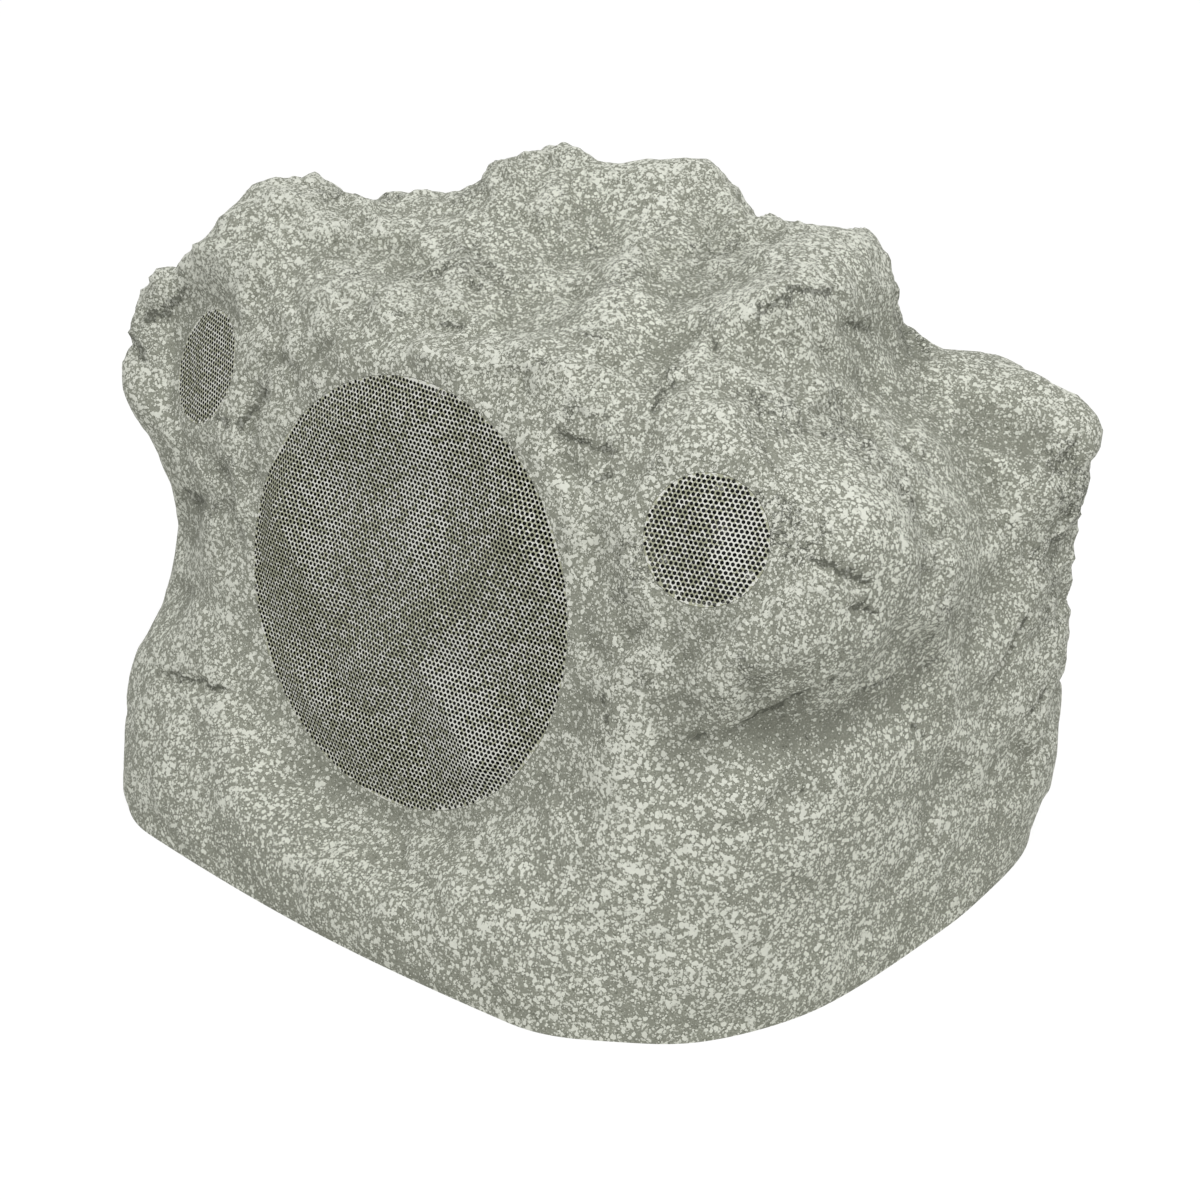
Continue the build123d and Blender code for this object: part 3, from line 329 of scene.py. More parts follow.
class StageSettings(bpy.types.PropertyGroup):
    """Camera, light and floor."""

    eye: spot("Eye", "Place of the camera", (0.80915, -0.89567, 0.67905))
    target: spot("Target", "Point that the camera looks at", (0.1229, -0.120, 0.1917))
    lens: number("Lens", "Focal length in mm", 79.374, "DISTANCE_CAMERA")
    sensor: number("Sensor", "Width of the sensor in mm", 36, "DISTANCE_CAMERA")
    sky: number("Sky", "Strength of the even light", 0.48, "FACTOR")
    key_power: number("Key Power", "Power of the key lamp", 42, "POWER")
    key_size: length("Key Size", "Side of the key lamp", 1.2)
    key_place: spot("Key Place", "Place of the key lamp", (1.2, -0.9, 2.75))
    key_target: spot("Key Target", "Point that the key lamp faces", (0, 0, 0.15))
    floor_radius: length("Floor Radius", "Radius of the floor", 4)
    floor_drop: length("Floor Drop", "Gap between the base and the floor", 0.3 * MM)
    floor_colour: colour("Floor Colour", "Pale floor", "#dededc")
    floor_white: number("Floor White", "Strength of the white that the camera sees", 1.15)
    floor_share: number("Floor Share", "Share of that white on the floor", 0.80, "FACTOR")


def unit(vector):
    """Vector of length one along the last axis."""
    return vector / np.linalg.norm(vector, axis=-1, keepdims=True)


def facing(yaw, tilt):
    """Outward direction for a yaw from the front toward the right and a tilt upward, in degrees."""
    yaw, tilt = math.radians(yaw), math.radians(tilt)
    return np.array((math.sin(yaw) * math.cos(tilt), -math.cos(yaw) * math.cos(tilt), math.sin(tilt)))


def smooth(share):
    """Smooth step from 0 to 1: three times the square less twice the cube of the clipped share."""
    share = np.clip(share, 0, 1)
    return share * share * (3 - 2 * share)


class Seat:
    """Round face with a centre, an outward normal, a radius, and the directions side and up across it."""

    def __init__(self, centre, normal, radius):
        self.centre = np.array(centre, float)
        self.normal = np.array(normal, float)
        self.radius = radius
        level = np.array((-self.normal[1], self.normal[0], 0.0))
        self.side = unit(level) if level.any() else np.array((1.0, 0.0, 0.0))
        self.up = np.cross(self.normal, self.side)

    def place(self, across, upward, forward):
        """Points from coordinates across, upward and forward of the face's centre."""
        flat = self.centre + across[..., None] * self.side + upward[..., None] * self.up
        return flat + forward[..., None] * self.normal


def mesh_points(mesh):
    """Places of a mesh's vertices as one array."""
    flat = np.empty(3 * len(mesh.vertices), np.float32)
    mesh.vertices.foreach_get("co", flat)
    return flat.reshape(-1, 3).astype(float)


def grille_seat(node):
    """Face of a grille from its CAD node: the thinnest way through its points is the normal."""
    points = mesh_points(frame["nodes"][node].data)
    middle = (points.min(axis=0) + points.max(axis=0)) / 2
    normal = np.linalg.svd(points - middle, full_matrices=False)[2][2]
    normal = normal if normal[1] < 0 else -normal
    height = (points - middle) @ normal
    out = points - middle - height[:, None] * normal
    return Seat(middle + normal * height.max(), normal, np.linalg.norm(out, axis=1).max())


def gland_seat(stone):
    """Spot face of the cable gland on the rear skirt, at the height of its CAD node."""
    low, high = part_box("cable_gland_body")
    centre = ((low[0] + high[0]) / 2, stone.half_depth - stone.gland_depth, (low[2] + high[2]) / 2)
    return Seat(centre, (0, 1, 0), stone.gland_radius)


SEATS = {node: grille_seat(node) for node in FOLDS}
# Width over which the stone fades from the flat round a grille, for each kind of driver
FADES = {"woofer": 26 * MM, "tweeter": 18 * MM}


def driver_kind(node):
    """Kind of driver behind a grille, with which the names of its sizes start."""
    return node.split("_")[0]


def driver_sizes(grille, node, *names):
    """Sizes of the driver behind a grille from the grille settings."""
    return [getattr(grille, f"{driver_kind(node)}_{name}") for name in names]


def around(columns):
    """Even turns round a circle, in radians."""
    return np.arange(columns) * 2 * math.pi / columns


def pointing(turn, climb):
    """Direction at a turn about Z and a climb from the ground, in radians."""
    return np.stack((np.cos(climb) * np.cos(turn), np.cos(climb) * np.sin(turn), np.sin(climb)), axis=-1)


def off_run(points, start, run):
    """Way to each point from the nearest place of a straight run."""
    along = np.clip((points - start) @ run / (run @ run), 0, 1)
    return points - start - along[..., None] * run


def bells(points, runs):
    """Sum of ridges: each has its rise along a straight run and falls off beside it as a bell."""
    total = np.zeros(points.shape[:-1])
    for start, end, width, rise in runs:
        away = np.linalg.norm(off_run(points, start, end - start), axis=-1)
        total += rise * np.exp(-0.5 * (away / width) ** 2)
    return total


def waves(points, wavelength, seed, count=18):
    """Even noise with a spread of one: cosines of about one wavelength in seeded directions, summed."""
    longest, shortest = 0.7, 1.4
    seeded = np.random.default_rng(seed)
    ways = unit(seeded.normal(size=(count, 3)))
    ways *= 2 * math.pi / wavelength * seeded.uniform(longest, shortest, (count, 1))
    phases = seeded.uniform(0, 2 * math.pi, count)
    total = np.zeros(points.shape[:-1])
    for way, phase in zip(ways, phases):
        total += np.cos(points @ way + phase)
    return total * math.sqrt(2 / count)


def seen_at(stage, points, pixel):
    """Point of a grid that the camera sees at a pixel of the photograph.

    Each point is projected through the lens. Its distance from the pixel, plus its depth at so many
    pixels a metre, is least at the nearer surface.
    """
    pixels_per_metre = 200
    eye = np.array(stage.eye)
    forward = unit(np.array(stage.target) - eye)
    side = unit(np.cross(forward, (0, 0, 1)))
    off = points - eye
    depth = off @ forward
    scale = PHOTO_PIXELS * stage.lens / stage.sensor
    across = PHOTO_PIXELS / 2 + scale * (off @ side) / depth - pixel[0]
    down = PHOTO_PIXELS / 2 - scale * (off @ np.cross(side, forward)) / depth - pixel[1]
    return points.reshape(-1, 3)[np.argmin(np.hypot(across, down) + pixels_per_metre * depth)]


class Wear:
    """Pits and cracks on the stone: start, end, upward direction, half width and depth of each."""

    skyward = (0, 0.3, 1)
    ragged_width = 8 * MM
    ragged_reach = 0.9 * MM
    seed = 40
    far = 9.0

    def __init__(self, stage, points):
        self.runs = []
        view = unit(np.array(stage.target) - np.array(stage.eye))
        for first, last, width, depth in WEAR:
            start, end = seen_at(stage, points, first), seen_at(stage, points, last)
            upward = unit(np.cross(view, end - start))
            upward = upward if upward @ self.skyward > 0 else -upward
            self.runs.append((start, end, upward, width * MM, depth * MM))

    def measure(self, points):
        """Depth of the pits, and the distance and upward distance to the nearest as shares of its width.

        Distances are read at points that a short noise has moved, which makes the edges ragged. A pit
        has a flat bottom out to half its width and a steep wall.
        """
        ragged = points.copy()
        for axis in range(3):
            ragged[..., axis] += self.ragged_reach * waves(points, self.ragged_width, self.seed + axis)
        depth = np.zeros(points.shape[:-1])
        nearest = np.full(points.shape[:-1], self.far)
        signed = np.full(points.shape[:-1], self.far)
        for start, end, upward, width, rise in self.runs:
            off = off_run(ragged, start, end - start)
            away = np.linalg.norm(off, axis=-1) / width
            depth = np.maximum(depth, rise * (1 - smooth(away - 0.5)))
            closer = away < nearest
            nearest = np.where(closer, away, nearest)
            signed = np.where(closer, off @ upward / width, signed)
        return depth, nearest, np.clip(signed, -self.far, self.far)


def stone_skin(stone, turn, climb, inset=0.0):
    """Points of the plain moulded stone at a turn about Z and a climb from the ground, in radians.

    A direction from the base centre is divided by a power mean of the plan outline and of its reach
    toward each facet plane. The ridges are added along an outward direction that lifts with the climb.
    Round each grille the point slides along it to the grille's plane, by a smooth share of the way.
    """
    least_toward = 0.2
    turn, climb = np.broadcast_arrays(turn, climb)
    size = np.array((stone.half_width, stone.half_depth, stone.height))
    way = pointing(turn, climb)
    planes = [(seat.normal, seat.normal @ seat.centre + stone.flat_proud) for seat in SEATS.values()]
    for yaw, tilt, share in FACETS:
        normal = facing(yaw, tilt)
        planes.append((normal, share * (np.abs(normal) @ size)))
    total = (np.abs(way[..., :2] / size[:2]) ** stone.plan_power).sum(axis=-1)
    total = total ** (stone.facet_power / stone.plan_power)
    for normal, distance in planes:
        total += np.clip(way @ normal / distance, 0, None) ** stone.facet_power
    bare = way * total[..., None] ** (-1 / stone.facet_power)
    lift = math.pi / 2 * (climb / (math.pi / 2)) ** stone.lift_power
    outward = pointing(turn, lift)
    runs = [(np.array(a) * size, np.array(b) * size, w * MM, r * MM) for a, b, w, r in RELIEF]
    points = bare + outward * bells(bare, runs)[..., None]
    for node, seat in SEATS.items():
        toward = outward @ seat.normal
        step = (seat.centre - points) @ seat.normal / np.where(toward > least_toward, toward, 1)
        landing = points + outward * step[..., None]
        away = np.linalg.norm(landing - seat.centre, axis=-1) - seat.radius - stone.flat_margin
        hold = (1 - smooth(away / FADES[driver_kind(node)])) * (toward > least_toward)
        points = points + outward * (step * hold)[..., None]
    return points - outward * inset


def grid_normals(points):
    """Outward normals of a closed grid of rows and columns, as long as the area round each point."""
    least = 1e-15
    sideways = (np.roll(points, -1, axis=1) - np.roll(points, 1, axis=1)) / 2
    return np.cross(sideways, np.gradient(points, axis=0)) + least


def painted_relief_shade(points):
    """How hollow each place is, from -1 on edges to 1 in valleys; the finish paints shade in the valleys
    and light on the edges from it.

    It is the way out to a copy of the grid in which each point is the mean of its neighbours, taken
    again and again. A reach is a number of such steps and the depth that then counts as full.
    """
    reaches = ((12, 1.2 * MM), (70, 4 * MM))
    ground = 40 * MM
    outward = unit(grid_normals(points))
    relaxed = points.copy()
    total = np.zeros(points.shape[:2])
    for steps, depth in reaches:
        for _ in range(steps):
            above = np.concatenate((relaxed[1:], relaxed[-1:]))
            below = np.concatenate((relaxed[:1], relaxed[:-1]))
            beside = np.roll(relaxed, 1, axis=1) + np.roll(relaxed, -1, axis=1)
            relaxed = (above + below + beside) / 4
        total += ((relaxed - points) * outward).sum(axis=-1) / depth
    mean = np.clip(total / len(reaches), -1, 1)
    return (mean * smooth(points[..., 2] / ground)).ravel()


def chips(points, areas, spacing, slope, limit, seed):
    """Height of broken faces: each point lies on the tilted plane of the nearest seeded centre.

    The planes of near centres are averaged with bell weights a fifth of the spacing wide, which
    rounds the edges between the faces, and a hyperbolic tangent holds the height within its limit.
    """
    bell, least = 0.21 * spacing, 1e-9
    seeded = np.random.default_rng(seed)
    flat = points.reshape(-1, 3)
    share = areas.ravel() / areas.sum()
    count = int(areas.sum() / spacing**2)
    centres = flat[seeded.choice(len(flat), count, replace=False, p=share)]
    tilts = seeded.normal(size=(count, 3)) * slope
    total = np.zeros(len(flat))
    weights = np.full(len(flat), least)
    for centre, tilt in zip(centres, tilts):
        off = flat - centre
        weight = np.exp(-0.5 * (off * off).sum(axis=1) / bell**2)
        total += weight * (off @ tilt)
        weights += weight
    return limit * np.tanh(total / weights / limit).reshape(points.shape[:-1])


def painted_shade_spots(stage, points):
    """Painted shade: a bell round each place where the photograph shows darker stone, which darkens the
    coat there.
    """
    flat = points.reshape(-1, 3)
    total = np.zeros(len(flat))
    for pixel, reach, strength in PAINTED_SHADE_SPOTS:
        away = np.linalg.norm(flat - seen_at(stage, points, pixel), axis=1)
        total += strength * np.exp(-(away / (reach * MM)) ** 2)
    return total


def roughness(points):
    """How broken the stone is: smooth low down and at the left, rough above and at the back, in drifts."""
    back_start, back_width, back_lift = -20 * MM, 120 * MM, 70 * MM
    rough_start, rough_width, least = 110 * MM, 110 * MM, 0.22
    left_start, left_width, left_calm = 130 * MM, 50 * MM, 0.4
    drift_width, drift_seed = 100 * MM, 5
    across, along, height = np.moveaxis(points, -1, 0)
    back = smooth((along - back_start) / back_width)
    above = smooth((height + back_lift * back - rough_start) / rough_width)
    left = smooth((-across - left_start) / left_width)
    drift = np.clip(0.85 + 0.35 * waves(points, drift_width, drift_seed), 0.2, 1.4)
    return (1 - left_calm * left) * (least + (1 - least) * above) * drift


def weathering(stone, points, areas, wear):
    """Height of broken faces, crumbs, pits and cracks, which fade at the grilles and toward the ground.

    Each size of broken faces has a spacing, a share of the slope, a limit, the share that smooth stone
    keeps, and a seed.
    """
    sizes = ((34 * MM, 1.0, 3.0 * MM, 0.4, 1), (16 * MM, 1.3, 1.6 * MM, 0.0, 2))
    crumb, crumb_seed = 9 * MM, 3
    ground, clear, fade = 8 * MM, 0.5 * MM, 14 * MM
    thickness, deepest = 30 * MM, 4 * MM
    rough = roughness(points)
    height = np.zeros(rough.shape)
    for spacing, share, limit, kept, seed in sizes:
        broken = chips(points, areas, spacing, share * stone.chip_slope, limit, seed)
        height += broken * (kept + (1 - kept) * rough)
    height += stone.crumb_rise * waves(points, crumb, crumb_seed) * rough
    height -= wear.measure(points)[0]
    for seat in (*SEATS.values(), gland_seat(stone)):
        off = points - seat.centre
        across = off - (off @ seat.normal)[..., None] * seat.normal
        away = np.linalg.norm(across, axis=-1) - seat.radius
        near = np.abs(off @ seat.normal) < thickness
        height = height * np.where(near, smooth((away - clear) / fade), 1)
    return np.maximum(height, -deepest) * smooth(points[..., 2] / ground)


def grid_faces(rows, columns):
    """Corner numbers of the quads between rows of points that close on themselves."""
    row, column = np.meshgrid(np.arange(rows - 1), np.arange(columns), indexing="ij")
    corner = row * columns + column
    beside = row * columns + (column + 1) % columns
    return np.stack((corner, beside, beside + columns, corner + columns), axis=-1).reshape(-1, 4)


def capped_grid(points, bottom, top):
    """Vertices and faces of a closed grid with one point at its bottom and one at its top."""
    rows, columns = points.shape[:2]
    vertices = np.vstack((points.reshape(-1, 3), bottom, top))
    first = np.arange(columns)
    following = (first + 1) % columns
    last = (rows - 1) * columns
    low = np.stack((following, first, np.full(columns, rows * columns)), axis=-1)
    high = np.stack((first + last, following + last, np.full(columns, rows * columns + 1)), axis=-1)
    return vertices, grid_faces(rows, columns).tolist() + low.tolist() + high.tolist()


def lathe(seat, profile, columns):
    """Rows of points from a profile of radius and forward distance, turned about a seat's axis."""
    angle = around(columns)
    radius, forward = np.array(profile, float).T[..., None]
    return seat.place(radius * np.cos(angle), radius * np.sin(angle), forward + 0 * angle)


def turned(seat, steps, columns=160):
    """Solid turned about a seat's axis from steps, each with a radius, a bottom and a top."""
    profile = [(radius, level) for radius, *levels in steps for level in levels]
    bottom, top = (seat.centre + seat.normal * profile[end][1] for end in (0, -1))
    return capped_grid(lathe(seat, profile, columns), bottom, top)


def upright(centres, radius, bottom, top, columns=32):
    """Upright cylinders round several centres, closed at both ends, as one set of vertices and faces."""
    vertices, faces = [], []
    for centre in centres:
        seat = Seat((centre[0], centre[1], 0), (0, 0, 1), radius)
        points, corners = turned(seat, ((radius, bottom, top),), columns)
        first = sum(len(part) for part in vertices)
        vertices.append(points)
        faces += [[first + corner for corner in face] for face in corners]
    return np.vstack(vertices), faces


def new_piece(name, vertices, faces):
    """Object at the origin with its place in its mesh."""
    mesh = bpy.data.meshes.new(name)
    mesh.from_pydata(np.asarray(vertices).tolist(), [], faces)
    mesh.validate()
    piece = bpy.data.objects.new(name, mesh)
    bpy.context.scene.collection.objects.link(piece)
    return piece


def mark(mesh, name, domain, values):
    """Store one value per vertex or face under a name that a finish reads."""
    attribute = mesh.attributes.new(name, "FLOAT", domain)
    attribute.data.foreach_set("value", np.asarray(values, np.float32))


def carve(piece, tool):
    """Take a closed tool away from a closed piece, and remove the tool."""
    cut = piece.modifiers.new("Carve", "BOOLEAN")
    cut.operation = "DIFFERENCE"
    cut.solver = "MANIFOLD"
    cut.object = tool
    graph = bpy.context.evaluated_depsgraph_get()
    mesh = bpy.data.meshes.new_from_object(piece.evaluated_get(graph))
    if not mesh.polygons:
        raise RuntimeError(f"Carving {tool.name} out of {piece.name} left nothing")
    piece.modifiers.clear()
    piece.data = mesh
    bpy.data.objects.remove(tool)


def feed(tree, node, inputs):
    """Give each input of a node its value, or link it to an output socket."""
    for key, value in inputs.items():
        if isinstance(value, bpy.types.NodeSocket):
            tree.links.new(value, node.inputs[key])
        else:
            node.inputs[key].default_value = value


def add_node(tree, kind, inputs=None, **settings):
    """Add a node with its settings and inputs."""
    node = tree.nodes.new(kind)
    for name, value in settings.items():
        setattr(node, name, value)
    feed(tree, node, inputs or {})
    return node


def start_finish(name, **sockets):
    """Material with one principled shader whose constant sockets are set, its tree and its shader."""
    material = bpy.data.materials.new(name)
    material.use_nodes = True
    tree = material.node_tree
    shader = tree.nodes["Principled BSDF"]
    feed(tree, shader, sockets)
    return material, tree, shader


def maths(tree, operation, *values, **settings):
    """Result of one step of arithmetic on numbers or sockets."""
    inputs = dict(enumerate(values))
    return add_node(tree, "ShaderNodeMath", inputs, operation=operation, **settings).outputs[0]


def bump(tree, height, strength, distance, **sockets):
    """Normal of a surface that a height raises over a real distance."""
    inputs = {"Height": height, "Strength": strength, "Distance": distance, **sockets}
    return add_node(tree, "ShaderNodeBump", inputs).outputs["Normal"]


def stored(tree, name):
    """Value that a piece has stored under a name."""
    return add_node(tree, "ShaderNodeAttribute", attribute_name=name).outputs["Fac"]


def noise(tree, place, width, detail, **sockets):
    """Noise from 0 to 1 with a real width."""
    inputs = {"Vector": place, "Scale": 1 / width, "Detail": detail, **sockets}
    return add_node(tree, "ShaderNodeTexNoise", inputs).outputs["Fac"]


def object_place(tree):
    """Object coordinates."""
    return add_node(tree, "ShaderNodeTexCoord").outputs["Object"]


def ragged_place(tree, width, reach):
    """Object coordinates moved about by noise of a width, by up to a reach, so that edges are ragged."""
    place = object_place(tree)
    wander = add_node(tree, "ShaderNodeTexNoise", {"Vector": place, "Scale": 1 / width, "Detail": 1.0})
    inputs = {0: wander.outputs["Color"], 1: (reach, reach, reach), 2: place}
    return add_node(tree, "ShaderNodeVectorMath", inputs, operation="MULTIPLY_ADD").outputs[0]


def stepped(tree, value, low, high):
    """Smooth step of a value between two levels."""
    inputs = {"Value": value, "From Min": low, "From Max": high}
    return add_node(tree, "ShaderNodeMapRange", inputs, interpolation_type="SMOOTHSTEP").outputs["Result"]


def blend(tree, share, first, second):
    """Colour between two colours by a share."""
    return add_node(tree, "ShaderNodeMix", {0: share, 6: first, 7: second}, data_type="RGBA").outputs[2]


def blob_level(tree, place, blobs):
    """Sum of noises about zero, each of a real width and with a gain."""
    value = 0.0
    for width, gain in blobs:
        centred = maths(tree, "SUBTRACT", noise(tree, place, width, 1.0), 0.5)
        value = maths(tree, "MULTIPLY_ADD", centred, gain, value)
    return value


def flake_level(tree, place, cell, share, blobs):
    """Level of sprayed flakes and the chance of each: above zero inside a flake.

    A share of the grains has a random radius, which blobs make larger, less the way from its middle.
    """
    spread = 1.4
    grain = add_node(tree, "ShaderNodeTexVoronoi", {"Vector": place, "Scale": 1 / cell})
    chance = add_node(tree, "ShaderNodeSeparateColor", {"Color": grain.outputs["Color"]}).outputs["Red"]
    radius = maths(tree, "MULTIPLY_ADD", chance, spread, spread * (share - 1))
    return maths(tree, "SUBTRACT", maths(tree, "ADD", radius, blobs), grain.outputs["Distance"]), chance


def flake_coat(tree, colours, rough, hollow):
    """Ground coat with pale flakes of 1 to 2 mm in loose clusters over fine grains, and the flakes' level.

    Rough places have more small flakes and fewer large ones. Edges take more pale flakes and hollows fewer,
    as painted light and shade, and the ground is darker in a thin line round each flake.
    """
    rough_gain, shade_gain = 0.22, 0.11
    place = ragged_place(tree, 0.8 * MM, 0.45 * MM)
    blobs = blob_level(tree, place, ((6 * MM, 0.6), (24 * MM, 0.4), (90 * MM, 0.25)))
    large, tone = flake_level(tree, place, 1.9 * MM, 0.64, blobs)
    small, _ = flake_level(tree, place, 1.0 * MM, 0.58, blobs)
    fine, _ = flake_level(tree, place, 0.6 * MM, 0.62, blobs)
    large = maths(tree, "MULTIPLY_ADD", rough, -rough_gain, large)
    small = maths(tree, "MULTIPLY_ADD", rough, rough_gain, small)
    # Painted light and shade: fewer pale flakes in hollows, more on edges
    level = maths(tree, "MULTIPLY_ADD", hollow, -shade_gain, maths(tree, "MAXIMUM", large, small))
    pale = blend(tree, tone, colours.stone_flake, colours.stone_bright)
    ground = blend(tree, stepped(tree, level, -0.22, -0.02), colours.stone_ground, colours.stone_fleck)
    ground = blend(tree, stepped(tree, fine, 0.0, 0.08), ground, colours.stone_grain)
    return blend(tree, stepped(tree, level, 0.0, 0.05), ground, pale), level


def crack_lines(tree, place, rough):
    """Thin lines along the middle value of a noise, in patches of rough stone, which the finish paints dark
    as shade in cracks, and that noise.
    """
    crack = noise(tree, place, 9 * MM, 4.0, Roughness=0.65, Distortion=0.6)
    middle = maths(tree, "ABSOLUTE", maths(tree, "SUBTRACT", crack, 0.5))
    patch = stepped(tree, noise(tree, place, 30 * MM, 1.0), 0.56, 0.64)
    spread = maths(tree, "MULTIPLY", patch, rough)
    return maths(tree, "MULTIPLY", stepped(tree, middle, 0.022, 0.004), spread, use_clamp=True), crack


def pit_shade(tree, place):
    """Dark ragged band under the upper edge of each pit, from the stored distances."""
    ragged_gain, band = 2.6, 0.45
    uneven = maths(tree, "SUBTRACT", noise(tree, place, 2.5 * MM, 2.0), 0.5)
    ragged = maths(tree, "MULTIPLY_ADD", uneven, ragged_gain, stored(tree, "pit_upward"))
    edge = maths(tree, "ABSOLUTE", maths(tree, "SUBTRACT", ragged, band))
    near = stepped(tree, stored(tree, "pit_away"), 1.9, 1.1)
    return maths(tree, "MULTIPLY", stepped(tree, edge, 0.55, 0.25), near)


def sprayed_stone(colours):
    """Textured coating sprayed over moulded resin: grey ground, crisp pale flakes, and painted shade in
    pits, cracks and hollows.
    """
    pit_share, hollow_shade_share, pit_cut = 0.62, 0.16, 0.4
    material, tree, shader = start_finish("sprayed_stone_coating", Roughness=0.88, IOR=1.45)
    rough, hollow = stored(tree, "rough"), stored(tree, "painted_relief_shade")
    coat, level = flake_coat(tree, colours, rough, hollow)
    place = object_place(tree)
    cracks, crack = crack_lines(tree, place, rough)
    # Painted shade: dark ragged bands in pits, dark crack lines, and darker hollows
    dark = maths(tree, "MAXIMUM", pit_shade(tree, place), cracks)
    hollow_shade_paint = maths(tree, "MULTIPLY", stepped(tree, hollow, 0.0, 1.0), hollow_shade_share)
    shade = maths(tree, "MAXIMUM", maths(tree, "MULTIPLY", dark, pit_share), hollow_shade_paint)
    shaded = blend(tree, shade, coat, colours.stone_shade)
    # Flakes stand a little proud of the ground, and cracks cut in
    raised = bump(tree, stepped(tree, level, -0.1, 0.15), 0.5, 0.2 * MM)
    cut = maths(tree, "MULTIPLY", maths(tree, "MULTIPLY_ADD", dark, -pit_cut, crack), rough)
    feed(tree, shader, {"Base Color": shaded, "Normal": bump(tree, cut, 0.7, 3.0 * MM, Normal=raised)})
    return material


def sprayed_grille(colours):
    """The same coating sprayed thinly on perforated steel: pale webs with fine grains, and hole walls
    painted near black as shade.

    Facets that face the light are painted paler and facets that face away darker, as painted light and
    shade.
    """
    material, tree, shader = start_finish("sprayed_grille_coating", Roughness=0.8)
    place = ragged_place(tree, 0.9 * MM, 0.4 * MM)
    blobs = blob_level(tree, place, ((5 * MM, 0.6), (30 * MM, 0.4)))
    level, tone = flake_level(tree, place, 1.4 * MM, 0.80, blobs)
    # Painted light and shade by facet
    pale = stepped(tree, maths(tree, "ADD", level, stored(tree, "sprayed")), -0.1, 0.1)
    coat = blend(tree, pale, colours.grille_ground, colours.grille_flake)
    # Painted shade: hole walls and the back of the sheet take the near black colour
    coat = blend(tree, stored(tree, "bare"), coat, colours.grille_hole_shade)
    feed(tree, shader, {"Base Color": coat, "Normal": bump(tree, tone, 0.3, 0.1 * MM)})
    return material


def grained(name, code, dull, grain, depth, metallic=0.0, shade=0.8):
    """Finish with a fine grain: noise of a real width shades the colour, the roughness and the surface."""
    swing = 0.08
    material, tree, shader = start_finish(name, Metallic=metallic)
    grains = noise(tree, object_place(tree), grain, 3.0)
    base = linear(code)
    dark = tuple(shade * part for part in base[:3]) + (1.0,)
    levels = {"Value": grains, "To Min": dull - swing, "To Max": dull + swing}
    inputs = {
        "Base Color": blend(tree, grains, dark, base),
        "Roughness": add_node(tree, "ShaderNodeMapRange", levels).outputs["Result"],
        "Normal": bump(tree, grains, 0.4, depth),
    }
    feed(tree, shader, inputs)
    return material


def slot_finishes(colours):
    """Material for each slot of the record, named for the real material and how it is made."""
    return {
        "stone_composite": sprayed_stone(colours),
        "painted_sheet": sprayed_grille(colours),
        # Dull black with the fine spark marks of a mould
        "black_plastic": grained("moulded_black_nylon", "#1c1d1c", 0.52, 0.9 * MM, 0.08 * MM),
        "black_rubber": grained("moulded_black_rubber", "#181818", 0.80, 0.7 * MM, 0.06 * MM),
        "cone_plastic": grained("moulded_polypropylene", "#1b1b1d", 0.46, 2.2 * MM, 0.05 * MM),
        # Pale metal with a soft shine, and black steel with the peel of powder paint
        "zinc_steel": grained("zinc_plated_steel", "#b8b9b2", 0.34, 1.4 * MM, 0.02 * MM, 1.0, 0.85),
        "former_sheet": grained("rolled_aluminium_sheet", "#c3c4c6", 0.35, 1.2 * MM, 0.02 * MM, 1.0, 0.9),
        "painted_steel": grained("black_powder_coated_steel", "#161616", 0.55, 1.6 * MM, 0.10 * MM),
        # Dark grey stone-like magnet, and turns of reddish wire
        "ferrite": grained("sintered_ferrite", "#3a3a3d", 0.70, 0.8 * MM, 0.05 * MM),
        "copper_wire": grained("enamelled_copper_wire", "#b4642c", 0.30, 0.6 * MM, 0.15 * MM, 1.0, 0.7),
        # Matt tan weave, and a smooth dark film
        "spider_cloth": grained("pressed_resin_cloth", "#b08a4a", 0.85, 0.8 * MM, 0.15 * MM, 0.0, 0.6),
        "dome_film": grained("formed_polyester_film", "#2a2b2f", 0.38, 2.0 * MM, 0.02 * MM),
        # Green board with grey cases on it
        "circuit_board": grained("glass_epoxy_board", "#1f5a36", 0.45, 0.9 * MM, 0.03 * MM),
        "component_case": grained("moulded_epoxy_case", "#8e8f8a", 0.60, 0.9 * MM, 0.05 * MM),
    }


FINISHES = {}


def dress(piece, slot):
    """Give a piece the finish of a slot."""
    piece.data.materials.clear()
    piece.data.materials.append(FINISHES[slot])


class SPEAKER_OT_finishes(bpy.types.Operator):
    """Make the finishes and give them to the solids that stay in view"""

    bl_idname = "speaker.finishes"
    bl_label = "Finishes"

    def execute(self, context):
        FINISHES.update(slot_finishes(context.scene.speaker_finish))
        for part in frame["record"]["subparts"]:
            dress(frame["nodes"][part["node"]], part["material_slot"])
        return {"FINISHED"}


